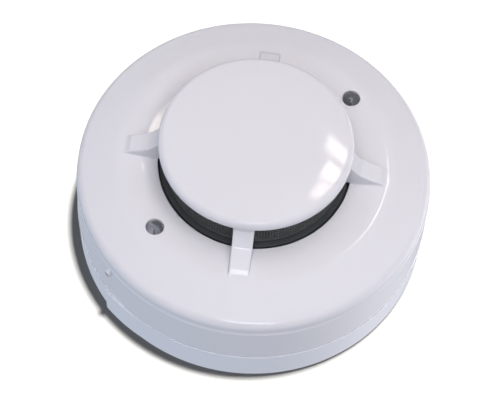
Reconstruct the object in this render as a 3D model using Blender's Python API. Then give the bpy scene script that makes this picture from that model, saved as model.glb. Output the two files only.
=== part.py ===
"""Point heat detector: a twist-off head on a ceiling base, lying face up with its rear face at z = 0.

Origin: centre of the base's rear face. +Z points out of the face, the ribs lie on +-X and +-Y.
Every piece is one named object, so the model can be taken apart the way the real one comes apart.
"""

import math

import bmesh
import bpy
from mathutils import Matrix, Vector

MM = 0.001
GAP = 0.3 * MM  # left between pieces that touch on the real object
TURN = 2 * math.pi
ROUND_STEPS = 48  # facets round the large turned shapes
MIDDLE_STEPS = 40  # facets round the board, the sensor carrier and the screen
SMALL_STEPS = 16  # facets round screws and lamps
HOLE_STEPS = 12  # facets round studs, posts and small holes
SLOT_STEPS = 6  # facets round each end of a slot

# Base
BASE_RADIUS = 50.1 * MM
BASE_FOOT_RADIUS = 49.7 * MM
BASE_HEIGHT = 11.6 * MM
BASE_FLOOR = 2.0 * MM
BASE_WALL = 2.9 * MM
LIP_RADIUS = 48.2 * MM
LIP_TOP = 13.4 * MM
CABLE_HOLE_RADIUS = 14.0 * MM
CABLE_COLLAR = 1.5 * MM
CABLE_COLLAR_TOP = 4.0 * MM
BLOCK_FROM, BLOCK_TO = 223, 239  # degrees round the skirt
BLOCK_PROUD = 0.6 * MM
FIXING_SLOTS = ((0, 27.5 * MM), (90, 32.5 * MM), (180, 27.5 * MM), (270, 32.5 * MM))
FIXING_SLOT_LENGTH = 9.6 * MM
FIXING_SLOT_WIDTH = 4.6 * MM

# Bayonet between base and head
LUG_CENTRES = (90, 210, 330)
LUG_HALF_SPAN = 8
TWIST = 18  # degrees from locked to free
SOCKET_INNER = 43.0 * MM
SOCKET_OUTER = 44.4 * MM
SOCKET_TOP = 10.5 * MM
LEDGE_INNER = 40.2 * MM
LEDGE_BOTTOM = 7.6 * MM
LEDGE_TOP = 9.2 * MM
LUG_OUTER = 42.6 * MM
LUG_THICKNESS = 1.9 * MM
STOP_CLEARANCE = 0.5  # degrees between a lug and its stop
STOP_SPAN = 2.5  # degrees that a stop covers
STOP_INNER = LEDGE_INNER + 0.2 * MM

# Terminals, one in each quarter
QUARTERS = (45, 135, 225, 315)
SCREW_RADIUS_AT = 31.0 * MM  # distance of a terminal screw from the axis
SHAFT_RADIUS = 1.75 * MM
CLEAR_HOLE = SHAFT_RADIUS + 0.25 * MM
PAD_TOP = 5.0 * MM
PAD_INNER, PAD_OUTER = 19.6 * MM, 36.2 * MM
PAD_WIDTH = 9.6 * MM
STRIP_WIDTH = 7.0 * MM
STRIP_THICKNESS = 0.8 * MM
LEAF_AT = 20.2 * MM
LEAF_THICKNESS = 0.6 * MM
LEAF_TOP = 12.0 * MM
WASHER_SIDE = 8.4 * MM
SCREW_HEAD_RADIUS = 3.1 * MM
SCREW_HEAD_HEIGHT = 2.1 * MM
SCREW_TIP = BASE_FLOOR + 0.2 * MM
SLOT_TURN = 35  # degrees of a screw slot past the radial direction

# Rear housing of the head
HOUSING_RADIUS = 47.4 * MM
HOUSING_BOTTOM = 14.0 * MM
HOUSING_TOP = 15.6 * MM
SKIRT_INNER, SKIRT_OUTER = 37.6 * MM, 39.4 * MM
SKIRT_BOTTOM = 3.4 * MM
STUD_AT = 27.0 * MM
STUD_RADIUS = 1.2 * MM
STUD_HOLE = STUD_RADIUS + GAP
BLADE_AT = 21.3 * MM
BLADE_THICKNESS = 0.8 * MM
BLADE_WIDTH = 6.0 * MM
BLADE_BOTTOM = 7.0 * MM
CASE_SCREW_AT = 43.0 * MM
CASE_SCREW_ANGLES = (0, 120, 240)
CASE_SHAFT_RADIUS = 1.25 * MM
CASE_HEAD_RADIUS = 2.5 * MM
CASE_HEAD_HEIGHT = 1.5 * MM
CASE_SCREW_TIP = 24.0 * MM
CASE_HOLE_TOP = 25.0 * MM
STUD_HEAD_RADIUS = 2.4 * MM
STUD_HEAD_HEIGHT = 0.5 * MM
STUD_END = 0.9 * MM  # how far a stud stands out of the board
BOARD_POST_RADIUS = 2.0 * MM
BOARD_POST_AT = 34.5 * MM
BOARD_POST_ANGLES = (30, 150, 270)

# Circuit board
BOARD_RADIUS = 38.5 * MM
BOARD_BOTTOM = 19.5 * MM
BOARD_TOP = 21.1 * MM
PART_SEAT = BOARD_TOP + GAP  # where the parts on the board start

# Outer cover
COVER_BOTTOM = BASE_HEIGHT + GAP
COVER_RADIUS = 49.9 * MM
COVER_WALL = 2.0 * MM
SHOULDER_BOTTOM = 27.7 * MM
SHOULDER_RADIUS = 4.9 * MM
CREST_AT, CREST_TOP = 37.6 * MM, 34.1 * MM
DISH_AT, DISH_TOP = 30.5 * MM, 33.6 * MM
OPENING_RADIUS = 27.0 * MM
OPENING_EDGE = 32.8 * MM
THROAT_BOTTOM = 29.5 * MM
CAP_EDGE = 42.7 * MM
CAP_ROLL = 3.4 * MM
CAP_ROLL_CENTRE = 43.2 * MM
CAP_TOP = 46.7 * MM
CAP_INNER = 25.3 * MM
CAP_CEILING = 44.6 * MM
RIB_WIDTH = 5.4 * MM
RIB_INNER = 25.6 * MM
RIB_OUTER = 37.8 * MM
RIB_TOP = 42.9 * MM
RIB_COVE = 2.5  # exponent of the rib's falling curve
BOSS_RADIUS = 3.2 * MM
BOSS_TOP = 30.9 * MM
MARK_ANGLE = 224.5
MARK_BOTTOM, MARK_TOP = 22.6 * MM, 25.8 * MM
MARK_WIDTH = 1.6 * MM
MARK_PROUD = 0.45 * MM
MARK_SLOPE = 0.6 * MM

# Indicator lamps
LAMP_AT = 34.7 * MM
LAMP_ANGLES = (45, 225)
LAMP_RADIUS = 2.5 * MM
LAMP_FLANGE = 2.9 * MM
LAMP_FLANGE_BOTTOM = 26.6 * MM
LAMP_SHOULDER = 32.6 * MM
LAMP_CUT = (28.0 * MM, 38.0 * MM)  # lowest and highest point of the cutter for a lamp hole
LEAD_PITCH = 2.54 * MM

# Sensor carrier and screen
CARRIER_RADIUS = 30.5 * MM
CARRIER_BOTTOM = 27.8 * MM
CARRIER_STEP = THROAT_BOTTOM - GAP
CARRIER_TOP = 31.0 * MM
PLATEAU_RADIUS = 26.6 * MM
CARRIER_WALL_INNER = 24.4 * MM
CARRIER_ROOF = 29.4 * MM
BEAD_HOLE, BEAD_COLLAR = 4.0 * MM, 6.0 * MM
CARRIER_LEG_AT, CARRIER_LEG_RADIUS = 27.2 * MM, 1.6 * MM
FRAME_OUTER, FRAME_INNER = 24.2 * MM, 22.6 * MM
FRAME_FOOT_TOP = 32.5 * MM
FRAME_TOP = 43.9 * MM
FRAME_WINDOWS = 12
FRAME_WINDOW_WIDTH = 9.8 * MM
FRAME_SILL, FRAME_LINTEL = 0.5 * MM, 1.6 * MM
SCREEN_OUTER, SCREEN_INNER = 24.9 * MM, 24.5 * MM
SCREEN_TOP = 43.6 * MM
BEAD_HEIGHT = 38.5 * MM


def clear_scene():
    for obj in list(bpy.data.objects):
        bpy.data.objects.remove(obj, do_unlink=True)


def make_material(name, colour, roughness, metallic=0.0, transmission=0.0):
    material = bpy.data.materials.new(name)
    material.use_nodes = True
    shader = material.node_tree.nodes["Principled BSDF"]
    shader.inputs["Base Color"].default_value = (*colour, 1.0)
    shader.inputs["Roughness"].default_value = roughness
    shader.inputs["Metallic"].default_value = metallic
    shader.inputs["Transmission Weight"].default_value = transmission
    material.diffuse_color = (*colour, 1.0)
    return material


def polar(radius, degrees, height=0.0):
    angle = math.radians(degrees)
    return Vector((radius * math.cos(angle), radius * math.sin(angle), height))


def place(degrees, radius=0.0, height=0.0):
    """Matrix of something that is drawn on the +X side and belongs at an angle round the axis."""
    return Matrix.Rotation(math.radians(degrees), 4, "Z") @ Matrix.Translation((radius, 0, height))


# Shapes: each adds one closed body to a bmesh.


def turned(bm, profile, steps=ROUND_STEPS, span=None):
    """Turns a closed outline of (radius, height) points about Z, all round or between two angles."""
    start, end = span or (0, 360)
    first = math.radians(start)
    points = [bm.verts.new((r * math.cos(first), r * math.sin(first), z)) for r, z in profile]
    edges = [bm.edges.new((a, b)) for a, b in zip(points, points[1:] + points[:1])]
    before = set(bm.faces)
    bmesh.ops.spin(
        bm, geom=points + edges, cent=(0, 0, 0), axis=(0, 0, 1), angle=math.radians(end - start),
        steps=steps, use_merge=span is None, use_normal_flip=False, use_duplicate=False,
    )
    if span:
        ends = [e for e in bm.edges if len(e.link_faces) == 1]
        bmesh.ops.holes_fill(bm, edges=ends, sides=0)
    new_faces = [f for f in bm.faces if f not in before]
    bmesh.ops.recalc_face_normals(bm, faces=new_faces)


def solid_turned(bm, profile, steps=ROUND_STEPS):
    """Turns an open outline whose two ends lie on the Z axis, so the body is solid at its middle."""
    points = [bm.verts.new((r, 0, z)) for r, z in profile]
    edges = [bm.edges.new(pair) for pair in zip(points, points[1:])]
    before = set(bm.faces)
    bmesh.ops.spin(
        bm, geom=points + edges, cent=(0, 0, 0), axis=(0, 0, 1), angle=TURN,
        steps=steps, use_merge=True, use_normal_flip=False, use_duplicate=False,
    )
    on_axis = [v for v in bm.verts if math.hypot(v.co.x, v.co.y) < 1e-7]
    bmesh.ops.remove_doubles(bm, verts=on_axis, dist=1e-6)
    new_faces = [f for f in bm.faces if f not in before]
    bmesh.ops.recalc_face_normals(bm, faces=new_faces)


def block(bm, low, high, matrix=Matrix()):
    size = Vector(high) - Vector(low)
    centre = (Vector(high) + Vector(low)) / 2
    shape = matrix @ Matrix.Translation(centre) @ Matrix.Diagonal((*size, 1))
    bmesh.ops.create_cube(bm, size=1, matrix=shape)


def rod(bm, radius, bottom, top, matrix=Matrix(), steps=SMALL_STEPS):
    middle = matrix @ Matrix.Translation((0, 0, (bottom + top) / 2))
    bmesh.ops.create_cone(
        bm, cap_ends=True, segments=steps, radius1=radius, radius2=radius,
        depth=top - bottom, matrix=middle,
    )


def extruded(bm, points, along):
    """A flat outline given as corner points, pushed along a vector into a closed bar."""
    corners = [bm.verts.new(point) for point in points]
    face = bm.faces.new(corners)
    made = bmesh.ops.extrude_face_region(bm, geom=[face], use_keep_orig=True)["geom"]
    moved = [v for v in made if isinstance(v, bmesh.types.BMVert)]
    bmesh.ops.translate(bm, verts=moved, vec=along)
    faces = set(f for v in corners + moved for f in v.link_faces)
    bmesh.ops.recalc_face_normals(bm, faces=list(faces))


def prism(bm, outline, width, matrix=Matrix()):
    """A closed (x, z) outline, made into a bar of this width across Y."""
    points = [matrix @ Vector((x, -width / 2, z)) for x, z in outline]
    extruded(bm, points, matrix.to_3x3() @ Vector((0, width, 0)))


def stadium(bm, half_length, radius, bottom, top, matrix):
    """An upright slot shape, long along X: two half circles and the straight sides between them."""
    points = []
    for side in (1, -1):
        for step in range(SLOT_STEPS + 1):
            angle = math.pi * (step / SLOT_STEPS - 0.5)
            x = side * (half_length + radius * math.cos(angle))
            points.append(matrix @ Vector((x, side * radius * math.sin(angle), bottom)))
    extruded(bm, points, (0, 0, top - bottom))


# Objects


def add_object(name, bm, material=None, matrix=Matrix(), parent=None):
    mesh = bpy.data.meshes.new(name)
    bm.to_mesh(mesh)
    bm.free()
    obj = bpy.data.objects.new(name, mesh)
    bpy.context.scene.collection.objects.link(obj)
    obj.matrix_world = matrix
    if parent:
        obj.parent = parent
        obj.matrix_parent_inverse = parent.matrix_world.inverted()
    if material:
        mesh.materials.append(material)
        mesh.shade_smooth()
        mesh.set_sharp_from_angle(angle=math.radians(32))
    return obj


def combine(obj, bm, operation):
    """Joins another shape to an object, or cuts it away, with a Boolean that stays on the object."""
    tool = add_object(f"{obj.name}_{operation.lower()}", bm, matrix=obj.matrix_world.copy())
    tool.hide_render = True
    tool.display_type = "WIRE"
    modifier = obj.modifiers.new(operation.title(), "BOOLEAN")
    modifier.operation = operation
    modifier.object = tool
    modifier.solver = "EXACT"


def finish_mesh(obj):
    """Applies an object's Booleans, so that its copies can share the finished mesh."""
    graph = bpy.context.evaluated_depsgraph_get()
    finished = bpy.data.meshes.new_from_object(obj.evaluated_get(graph))
    tools = [m.object for m in obj.modifiers]
    obj.modifiers.clear()
    obj.data = finished
    for tool in tools:
        bpy.data.objects.remove(tool, do_unlink=True)


def copy_of(first, name):
    """Another object that shares a finished piece's mesh."""
    copy = bpy.data.objects.new(name, first.data)
    bpy.context.scene.collection.objects.link(copy)
    return copy


def place_all(first, angles, parent=None, radius=0.0):
    """Puts a piece and its copies at angles round the axis. Their names count up from the first's."""
    stem = first.name.removesuffix("1")
    for number, angle in enumerate(angles, 1):
        piece = first if number == 1 else copy_of(first, f"{stem}{number}")
        piece.parent = parent
        piece.matrix_world = place(angle, radius)


def place_on_pivots(first, pivots, extra_turn=0):
    """Hangs a piece and its copies on the empties at the four terminals."""
    stem = first.name.removesuffix("1")
    for number, (angle, pivot) in enumerate(zip(QUARTERS, pivots), 1):
        piece = first if number == 1 else copy_of(first, f"{stem}{number}")
        piece.parent = pivot
        piece.rotation_euler.z = math.radians(angle + extra_turn)


def add_pivot(name, location=(0, 0, 0), parent=None):
    pivot = bpy.data.objects.new(name, None)
    bpy.context.scene.collection.objects.link(pivot)
    pivot.location = location
    if parent:
        pivot.parent = parent
    bpy.context.view_layer.update()
    return pivot


# Base


def make_base_plate(plastic):
    inner_wall = BASE_RADIUS - BASE_WALL
    bm = bmesh.new()
    turned(bm, [
        (CABLE_HOLE_RADIUS, 0),
        (BASE_FOOT_RADIUS - 0.5 * MM, 0),
        (BASE_FOOT_RADIUS, 0.5 * MM),
        (BASE_RADIUS, BASE_HEIGHT - 0.3 * MM),
        (BASE_RADIUS - 0.3 * MM, BASE_HEIGHT),
        (LIP_RADIUS, BASE_HEIGHT),
        (LIP_RADIUS, LIP_TOP),
        (inner_wall, LIP_TOP),
        (inner_wall, BASE_FLOOR),
        (CABLE_HOLE_RADIUS + CABLE_COLLAR, BASE_FLOOR),
        (CABLE_HOLE_RADIUS + CABLE_COLLAR, CABLE_COLLAR_TOP),
        (CABLE_HOLE_RADIUS, CABLE_COLLAR_TOP),
    ])
    base = add_object("base_plate", bm, plastic)

    sunk = BASE_FLOOR - 0.4 * MM  # how deep the added walls reach into the floor
    bm = bmesh.new()
    turned(bm, [
        (SOCKET_INNER, sunk),
        (SOCKET_OUTER, sunk),
        (SOCKET_OUTER, SOCKET_TOP),
        (SOCKET_INNER, SOCKET_TOP),
    ])
    for angle in QUARTERS:
        low = (PAD_INNER, -PAD_WIDTH / 2, sunk)
        high = (PAD_OUTER, PAD_WIDTH / 2, PAD_TOP)
        block(bm, low, high, place(angle))
    combine(base, bm, "UNION")

    ledge_reach = SOCKET_INNER + 0.6 * MM
    bm = bmesh.new()
    for centre in LUG_CENTRES:
        locked_stop = centre - LUG_HALF_SPAN - STOP_CLEARANCE
        free_stop = centre + TWIST + LUG_HALF_SPAN + STOP_CLEARANCE
        ledge = [
            (LEDGE_INNER, LEDGE_BOTTOM), (ledge_reach, LEDGE_BOTTOM),
            (ledge_reach, LEDGE_TOP), (LEDGE_INNER, LEDGE_TOP),
        ]
        turned(bm, ledge, steps=5, span=(locked_stop - STOP_SPAN, centre + LUG_HALF_SPAN + 1))
        post = [
            (STOP_INNER, sunk), (ledge_reach, sunk), (ledge_reach, LEDGE_TOP), (STOP_INNER, LEDGE_TOP),
        ]
        turned(bm, post, steps=1, span=(free_stop, free_stop + STOP_SPAN))
    combine(base, bm, "UNION")

    bm = bmesh.new()
    for centre in LUG_CENTRES:
        locked_stop = centre - LUG_HALF_SPAN - STOP_CLEARANCE
        buried_top = LEDGE_TOP - 0.5 * MM  # inside the ledge, as is the start of the span
        buried_start = locked_stop - STOP_SPAN + 0.4
        post = [(STOP_INNER, sunk), (ledge_reach, sunk), (ledge_reach, buried_top), (STOP_INNER, buried_top)]
        turned(bm, post, steps=1, span=(buried_start, locked_stop))
    skirt_block = [
        (BASE_FOOT_RADIUS - 1.0 * MM, 0), (BASE_FOOT_RADIUS + BLOCK_PROUD, 0),
        (BASE_RADIUS + BLOCK_PROUD, BASE_HEIGHT - 0.3 * MM),
        (BASE_RADIUS - 1.0 * MM, BASE_HEIGHT - 0.3 * MM),
    ]
    turned(bm, skirt_block, steps=4, span=(BLOCK_FROM, BLOCK_TO))
    combine(base, bm, "UNION")

    bm = bmesh.new()
    for angle in QUARTERS:
        rod(bm, CLEAR_HOLE, BASE_FLOOR - 0.2 * MM, PAD_TOP + 1 * MM, place(angle, SCREW_RADIUS_AT))
    for angle, distance in FIXING_SLOTS:
        straight = (FIXING_SLOT_LENGTH - FIXING_SLOT_WIDTH) / 2
        stadium(bm, straight, FIXING_SLOT_WIDTH / 2, -1 * MM, BASE_FLOOR + 1 * MM, place(angle, distance))
    combine(base, bm, "DIFFERENCE")


def make_contact_strips(brass):
    bottom = PAD_TOP + GAP
    top = bottom + STRIP_THICKNESS
    bm = bmesh.new()
    prism(bm, [
        (LEAF_AT, bottom), (PAD_OUTER - 0.4 * MM, bottom), (PAD_OUTER - 0.4 * MM, top),
        (LEAF_AT + LEAF_THICKNESS, top), (LEAF_AT + LEAF_THICKNESS, LEAF_TOP), (LEAF_AT, LEAF_TOP),
    ], STRIP_WIDTH)
    first = add_object("contact_strip_1", bm, brass)
    bm = bmesh.new()
    rod(bm, CLEAR_HOLE, bottom - 1 * MM, top + 1 * MM, place(0, SCREW_RADIUS_AT))
    combine(first, bm, "DIFFERENCE")
    finish_mesh(first)
    place_all(first, QUARTERS)


def make_clamp_washers(steel, pivots):
    bottom = PAD_TOP + GAP + STRIP_THICKNESS + GAP
    top = bottom + 0.8 * MM
    half = WASHER_SIDE / 2
    bm = bmesh.new()
    block(bm, (-half, -half, bottom), (half, half, top))
    upright = [e for e in bm.edges if abs(e.verts[0].co.z - e.verts[1].co.z) > GAP]
    bmesh.ops.bevel(bm, geom=upright, offset=0.8 * MM, segments=2, affect="EDGES")
    first = add_object("clamp_washer_1", bm, steel)
    bm = bmesh.new()
    rod(bm, CLEAR_HOLE, bottom - 1 * MM, top + 1 * MM)
    combine(first, bm, "DIFFERENCE")
    finish_mesh(first)
    place_on_pivots(first, pivots)
    return top


def terminal_screw_profile(head_bottom):
    """Half outline of a pan-head screw, from the crown down to the tip."""
    crown = head_bottom + SCREW_HEAD_HEIGHT
    return [
        (0, crown),
        (SCREW_HEAD_RADIUS * 0.62, crown - SCREW_HEAD_HEIGHT * 0.05),
        (SCREW_HEAD_RADIUS * 0.9, crown - SCREW_HEAD_HEIGHT * 0.3),
        (SCREW_HEAD_RADIUS, crown - SCREW_HEAD_HEIGHT * 0.65),
        (SCREW_HEAD_RADIUS, head_bottom),
        (SHAFT_RADIUS, head_bottom),
        (SHAFT_RADIUS, SCREW_TIP + SHAFT_RADIUS * 0.6),
        (SHAFT_RADIUS * 0.4, SCREW_TIP),
        (0, SCREW_TIP),
    ]


def make_terminal_screws(steel, pivots, washer_top):
    head_bottom = washer_top + GAP
    crown = head_bottom + SCREW_HEAD_HEIGHT
    bm = bmesh.new()
    solid_turned(bm, terminal_screw_profile(head_bottom), steps=SMALL_STEPS)
    first = add_object("terminal_screw_1", bm, steel)
    bm = bmesh.new()
    reach, slot = SCREW_HEAD_RADIUS + 1 * MM, 0.4 * MM
    block(bm, (-reach, -slot, crown - 0.9 * MM), (reach, slot, crown + 1 * MM))
    combine(first, bm, "DIFFERENCE")
    finish_mesh(first)
    place_on_pivots(first, pivots, extra_turn=SLOT_TURN)


# Head


def cover_ring_profile():
    """Section of the cover's ring: up the outside, over the crest, down the throat and back inside."""
    outside = [(COVER_RADIUS - 0.1 * MM, COVER_BOTTOM), (COVER_RADIUS, SHOULDER_BOTTOM)]
    inside = []
    centre = COVER_RADIUS - SHOULDER_RADIUS
    for step in (1, 2, 3, 4):
        angle = math.pi / 2 * step / 4 * 0.96
        rise, run = math.sin(angle), math.cos(angle)
        outside.append((centre + SHOULDER_RADIUS * run, SHOULDER_BOTTOM + SHOULDER_RADIUS * rise))
        inner = SHOULDER_RADIUS - COVER_WALL
        inside.append((centre + inner * run, SHOULDER_BOTTOM + inner * rise))
    outside += [
        (CREST_AT, CREST_TOP),
        (DISH_AT, DISH_TOP),
        (OPENING_RADIUS + 1.0 * MM, OPENING_EDGE + 0.35 * MM),
        (OPENING_RADIUS, OPENING_EDGE - 0.4 * MM),
    ]
    throat = [
        (OPENING_RADIUS, THROAT_BOTTOM),
        (OPENING_RADIUS + 1.7 * MM, THROAT_BOTTOM),
        (OPENING_RADIUS + 1.7 * MM, DISH_TOP - COVER_WALL),
    ]
    skin = [(CREST_AT, CREST_TOP - COVER_WALL)] + inside[::-1]
    rabbet = [
        (COVER_RADIUS - COVER_WALL, SHOULDER_BOTTOM),
        (COVER_RADIUS - COVER_WALL, LIP_TOP + 1.0 * MM),
        (LIP_RADIUS + GAP, LIP_TOP + 1.0 * MM),
        (LIP_RADIUS + GAP, COVER_BOTTOM),
    ]
    return outside + throat + skin + rabbet


def cap_profile():
    """Section of the cap: an upturned dish, from its crown round the rolled edge to its ceiling."""
    flat = OPENING_RADIUS - CAP_ROLL
    points = [(0, CAP_TOP), (flat * 0.6, CAP_TOP - 0.03 * MM)]
    for step in range(5):
        angle = math.pi / 2 * (1 - step / 4)
        points.append((flat + CAP_ROLL * math.cos(angle), CAP_ROLL_CENTRE + CAP_ROLL * math.sin(angle)))
    points += [
        (OPENING_RADIUS, CAP_EDGE), (CAP_INNER, CAP_EDGE), (CAP_INNER, CAP_CEILING - 0.8 * MM),
        (CAP_INNER - 0.8 * MM, CAP_CEILING), (0, CAP_CEILING),
    ]
    return points


def rib_outline():
    """Side view of a rib: high where it meets the cap, falling in a hollow curve to the crest."""
    start = OPENING_RADIUS - 0.4 * MM
    foot = CREST_TOP + 0.05 * MM
    curve = []
    for step in range(8):
        share = step / 7
        height = foot + (RIB_TOP - foot) * (1 - share) ** RIB_COVE
        curve.append((start + (RIB_OUTER - start) * share, height))
    under = CREST_TOP - COVER_WALL + 0.5 * MM
    root = OPENING_RADIUS + 0.5 * MM
    clear_of_foot = FRAME_FOOT_TOP + GAP
    return [(RIB_INNER, RIB_TOP)] + curve + [
        (RIB_OUTER, under), (root, under), (root, clear_of_foot), (RIB_INNER, clear_of_foot),
    ]


def make_outer_cover(plastic, pivot):
    bm = bmesh.new()
    turned(bm, cover_ring_profile())
    solid_turned(bm, cap_profile())
    cover = add_object("outer_cover", bm, plastic, parent=pivot)

    bm = bmesh.new()
    for angle in (0, 90, 180, 270):
        prism(bm, rib_outline(), RIB_WIDTH, place(angle))
    for angle in CASE_SCREW_ANGLES:
        rod(bm, BOSS_RADIUS, HOUSING_TOP + GAP, BOSS_TOP, place(angle, CASE_SCREW_AT))
    root, face = COVER_RADIUS - 1.0 * MM, COVER_RADIUS + MARK_PROUD
    mark = [
        (root, MARK_BOTTOM), (face, MARK_BOTTOM + MARK_SLOPE),
        (face, MARK_TOP - MARK_SLOPE), (root, MARK_TOP),
    ]
    prism(bm, mark, MARK_WIDTH, place(MARK_ANGLE))
    combine(cover, bm, "UNION")

    bm = bmesh.new()
    for angle in LAMP_ANGLES:
        rod(bm, LAMP_RADIUS + GAP, *LAMP_CUT, place(angle, LAMP_AT), steps=24)
    for angle in CASE_SCREW_ANGLES:
        hole = place(angle, CASE_SCREW_AT)
        rod(bm, CASE_SHAFT_RADIUS + GAP, HOUSING_TOP - 1 * MM, CASE_HOLE_TOP, hole, steps=HOLE_STEPS)
    combine(cover, bm, "DIFFERENCE")


def make_rear_housing(plastic, pivot):
    bm = bmesh.new()
    solid_turned(bm, [
        (0, HOUSING_TOP), (HOUSING_RADIUS, HOUSING_TOP), (HOUSING_RADIUS, HOUSING_BOTTOM),
        (SKIRT_OUTER, HOUSING_BOTTOM), (SKIRT_OUTER, SKIRT_BOTTOM), (SKIRT_INNER, SKIRT_BOTTOM),
        (SKIRT_INNER, HOUSING_BOTTOM), (0, HOUSING_BOTTOM),
    ])
    housing = add_object("rear_housing", bm, plastic, parent=pivot)

    lug_top = LEDGE_BOTTOM - GAP
    lug_root = SKIRT_OUTER - 0.6 * MM
    bm = bmesh.new()
    for centre in LUG_CENTRES:
        lug = [
            (lug_root, lug_top - LUG_THICKNESS), (LUG_OUTER, lug_top - LUG_THICKNESS),
            (LUG_OUTER, lug_top), (lug_root, lug_top),
        ]
        turned(bm, lug, steps=4, span=(centre - LUG_HALF_SPAN, centre + LUG_HALF_SPAN))
    for angle in BOARD_POST_ANGLES:
        post = place(angle, BOARD_POST_AT)
        rod(bm, BOARD_POST_RADIUS, HOUSING_TOP - 0.4 * MM, BOARD_BOTTOM - GAP, post, steps=HOLE_STEPS)
    combine(housing, bm, "UNION")

    below, above = HOUSING_BOTTOM - 1 * MM, HOUSING_TOP + 1 * MM
    bm = bmesh.new()
    for angle in QUARTERS:
        rod(bm, STUD_HOLE, below, above, place(angle, STUD_AT), steps=HOLE_STEPS)
    for angle in CASE_SCREW_ANGLES:
        rod(bm, CASE_SHAFT_RADIUS + GAP, below, above, place(angle, CASE_SCREW_AT), steps=HOLE_STEPS)
    combine(housing, bm, "DIFFERENCE")


def make_circuit_board(laminate, pivot):
    bm = bmesh.new()
    rod(bm, BOARD_RADIUS, BOARD_BOTTOM, BOARD_TOP, steps=MIDDLE_STEPS)
    board = add_object("circuit_board", bm, laminate, parent=pivot)
    bm = bmesh.new()
    for angle in QUARTERS:
        rod(bm, STUD_HOLE, BOARD_BOTTOM - 1 * MM, BOARD_TOP + 1 * MM, place(angle, STUD_AT), steps=HOLE_STEPS)
    combine(board, bm, "DIFFERENCE")


def make_blade_contacts(brass, pivot):
    top = HOUSING_BOTTOM - GAP
    bottom = top - BLADE_THICKNESS
    bm = bmesh.new()
    prism(bm, [
        (BLADE_AT, BLADE_BOTTOM), (BLADE_AT + BLADE_THICKNESS, BLADE_BOTTOM),
        (BLADE_AT + BLADE_THICKNESS, bottom), (STUD_AT + 3 * MM, bottom),
        (STUD_AT + 3 * MM, top), (BLADE_AT, top),
    ], BLADE_WIDTH)
    first = add_object("blade_contact_1", bm, brass)
    bm = bmesh.new()
    rod(bm, STUD_HOLE, bottom - 1 * MM, top + 1 * MM, place(0, STUD_AT), steps=HOLE_STEPS)
    combine(first, bm, "DIFFERENCE")
    finish_mesh(first)
    place_all(first, QUARTERS, pivot)
    return bottom


def make_contact_studs(brass, pivot, foot_bottom):
    head_top = foot_bottom - GAP
    head_bottom = head_top - STUD_HEAD_HEIGHT
    end = BOARD_TOP + STUD_END
    bm = bmesh.new()
    solid_turned(bm, [
        (0, end), (STUD_RADIUS * 0.7, end), (STUD_RADIUS, end - 0.4 * MM), (STUD_RADIUS, head_top),
        (STUD_HEAD_RADIUS, head_top), (STUD_HEAD_RADIUS - 0.2 * MM, head_bottom), (0, head_bottom),
    ], steps=HOLE_STEPS)
    first = add_object("contact_stud_1", bm, brass)
    place_all(first, QUARTERS, pivot, STUD_AT)


def make_case_screws(steel, pivot):
    head_top = HOUSING_BOTTOM - GAP
    head_bottom = head_top - CASE_HEAD_HEIGHT
    bm = bmesh.new()
    solid_turned(bm, [
        (0, CASE_SCREW_TIP), (CASE_SHAFT_RADIUS * 0.3, CASE_SCREW_TIP),
        (CASE_SHAFT_RADIUS, CASE_SCREW_TIP - 2 * MM), (CASE_SHAFT_RADIUS, head_top),
        (CASE_HEAD_RADIUS, head_top), (CASE_HEAD_RADIUS, head_bottom + 0.5 * MM),
        (CASE_HEAD_RADIUS - 0.6 * MM, head_bottom), (0, head_bottom),
    ], steps=SMALL_STEPS)
    first = add_object("case_screw_1", bm, steel)
    bm = bmesh.new()
    arm, slot, depth = 1.4 * MM, 0.35 * MM, 0.9 * MM
    block(bm, (-arm, -slot, head_bottom - 1 * MM), (arm, slot, head_bottom + depth))
    combine(first, bm, "DIFFERENCE")
    bm = bmesh.new()
    block(bm, (-slot, -arm, head_bottom - 1 * MM), (slot, arm, head_bottom + depth - 0.05 * MM))
    combine(first, bm, "DIFFERENCE")
    finish_mesh(first)
    place_all(first, CASE_SCREW_ANGLES, pivot, CASE_SCREW_AT)


def make_indicator_lamps(resin, pivot):
    profile = []
    for step in range(6):
        angle = math.pi / 2 * (1 - step / 5)
        profile.append((LAMP_RADIUS * math.cos(angle), LAMP_SHOULDER + LAMP_RADIUS * math.sin(angle)))
    profile[0] = (0, LAMP_SHOULDER + LAMP_RADIUS)
    flange_top = LAMP_FLANGE_BOTTOM + 1.0 * MM
    profile += [
        (LAMP_RADIUS, flange_top), (LAMP_FLANGE, flange_top),
        (LAMP_FLANGE, LAMP_FLANGE_BOTTOM), (0, LAMP_FLANGE_BOTTOM),
    ]
    bm = bmesh.new()
    solid_turned(bm, profile, steps=SMALL_STEPS)
    first = add_object("indicator_lamp_1", bm, resin)
    add_leads(first, PART_SEAT, LAMP_FLANGE_BOTTOM + 0.4 * MM, (-LEAD_PITCH / 2, LEAD_PITCH / 2))
    finish_mesh(first)
    place_all(first, LAMP_ANGLES, pivot, LAMP_AT)


def add_leads(obj, bottom, top, places, half=0.25 * MM):
    """Square wire leads, joined to the part that they come out of."""
    bm = bmesh.new()
    for y in places:
        block(bm, (-half, y - half, bottom), (half, y + half, top))
    combine(obj, bm, "UNION")


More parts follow.
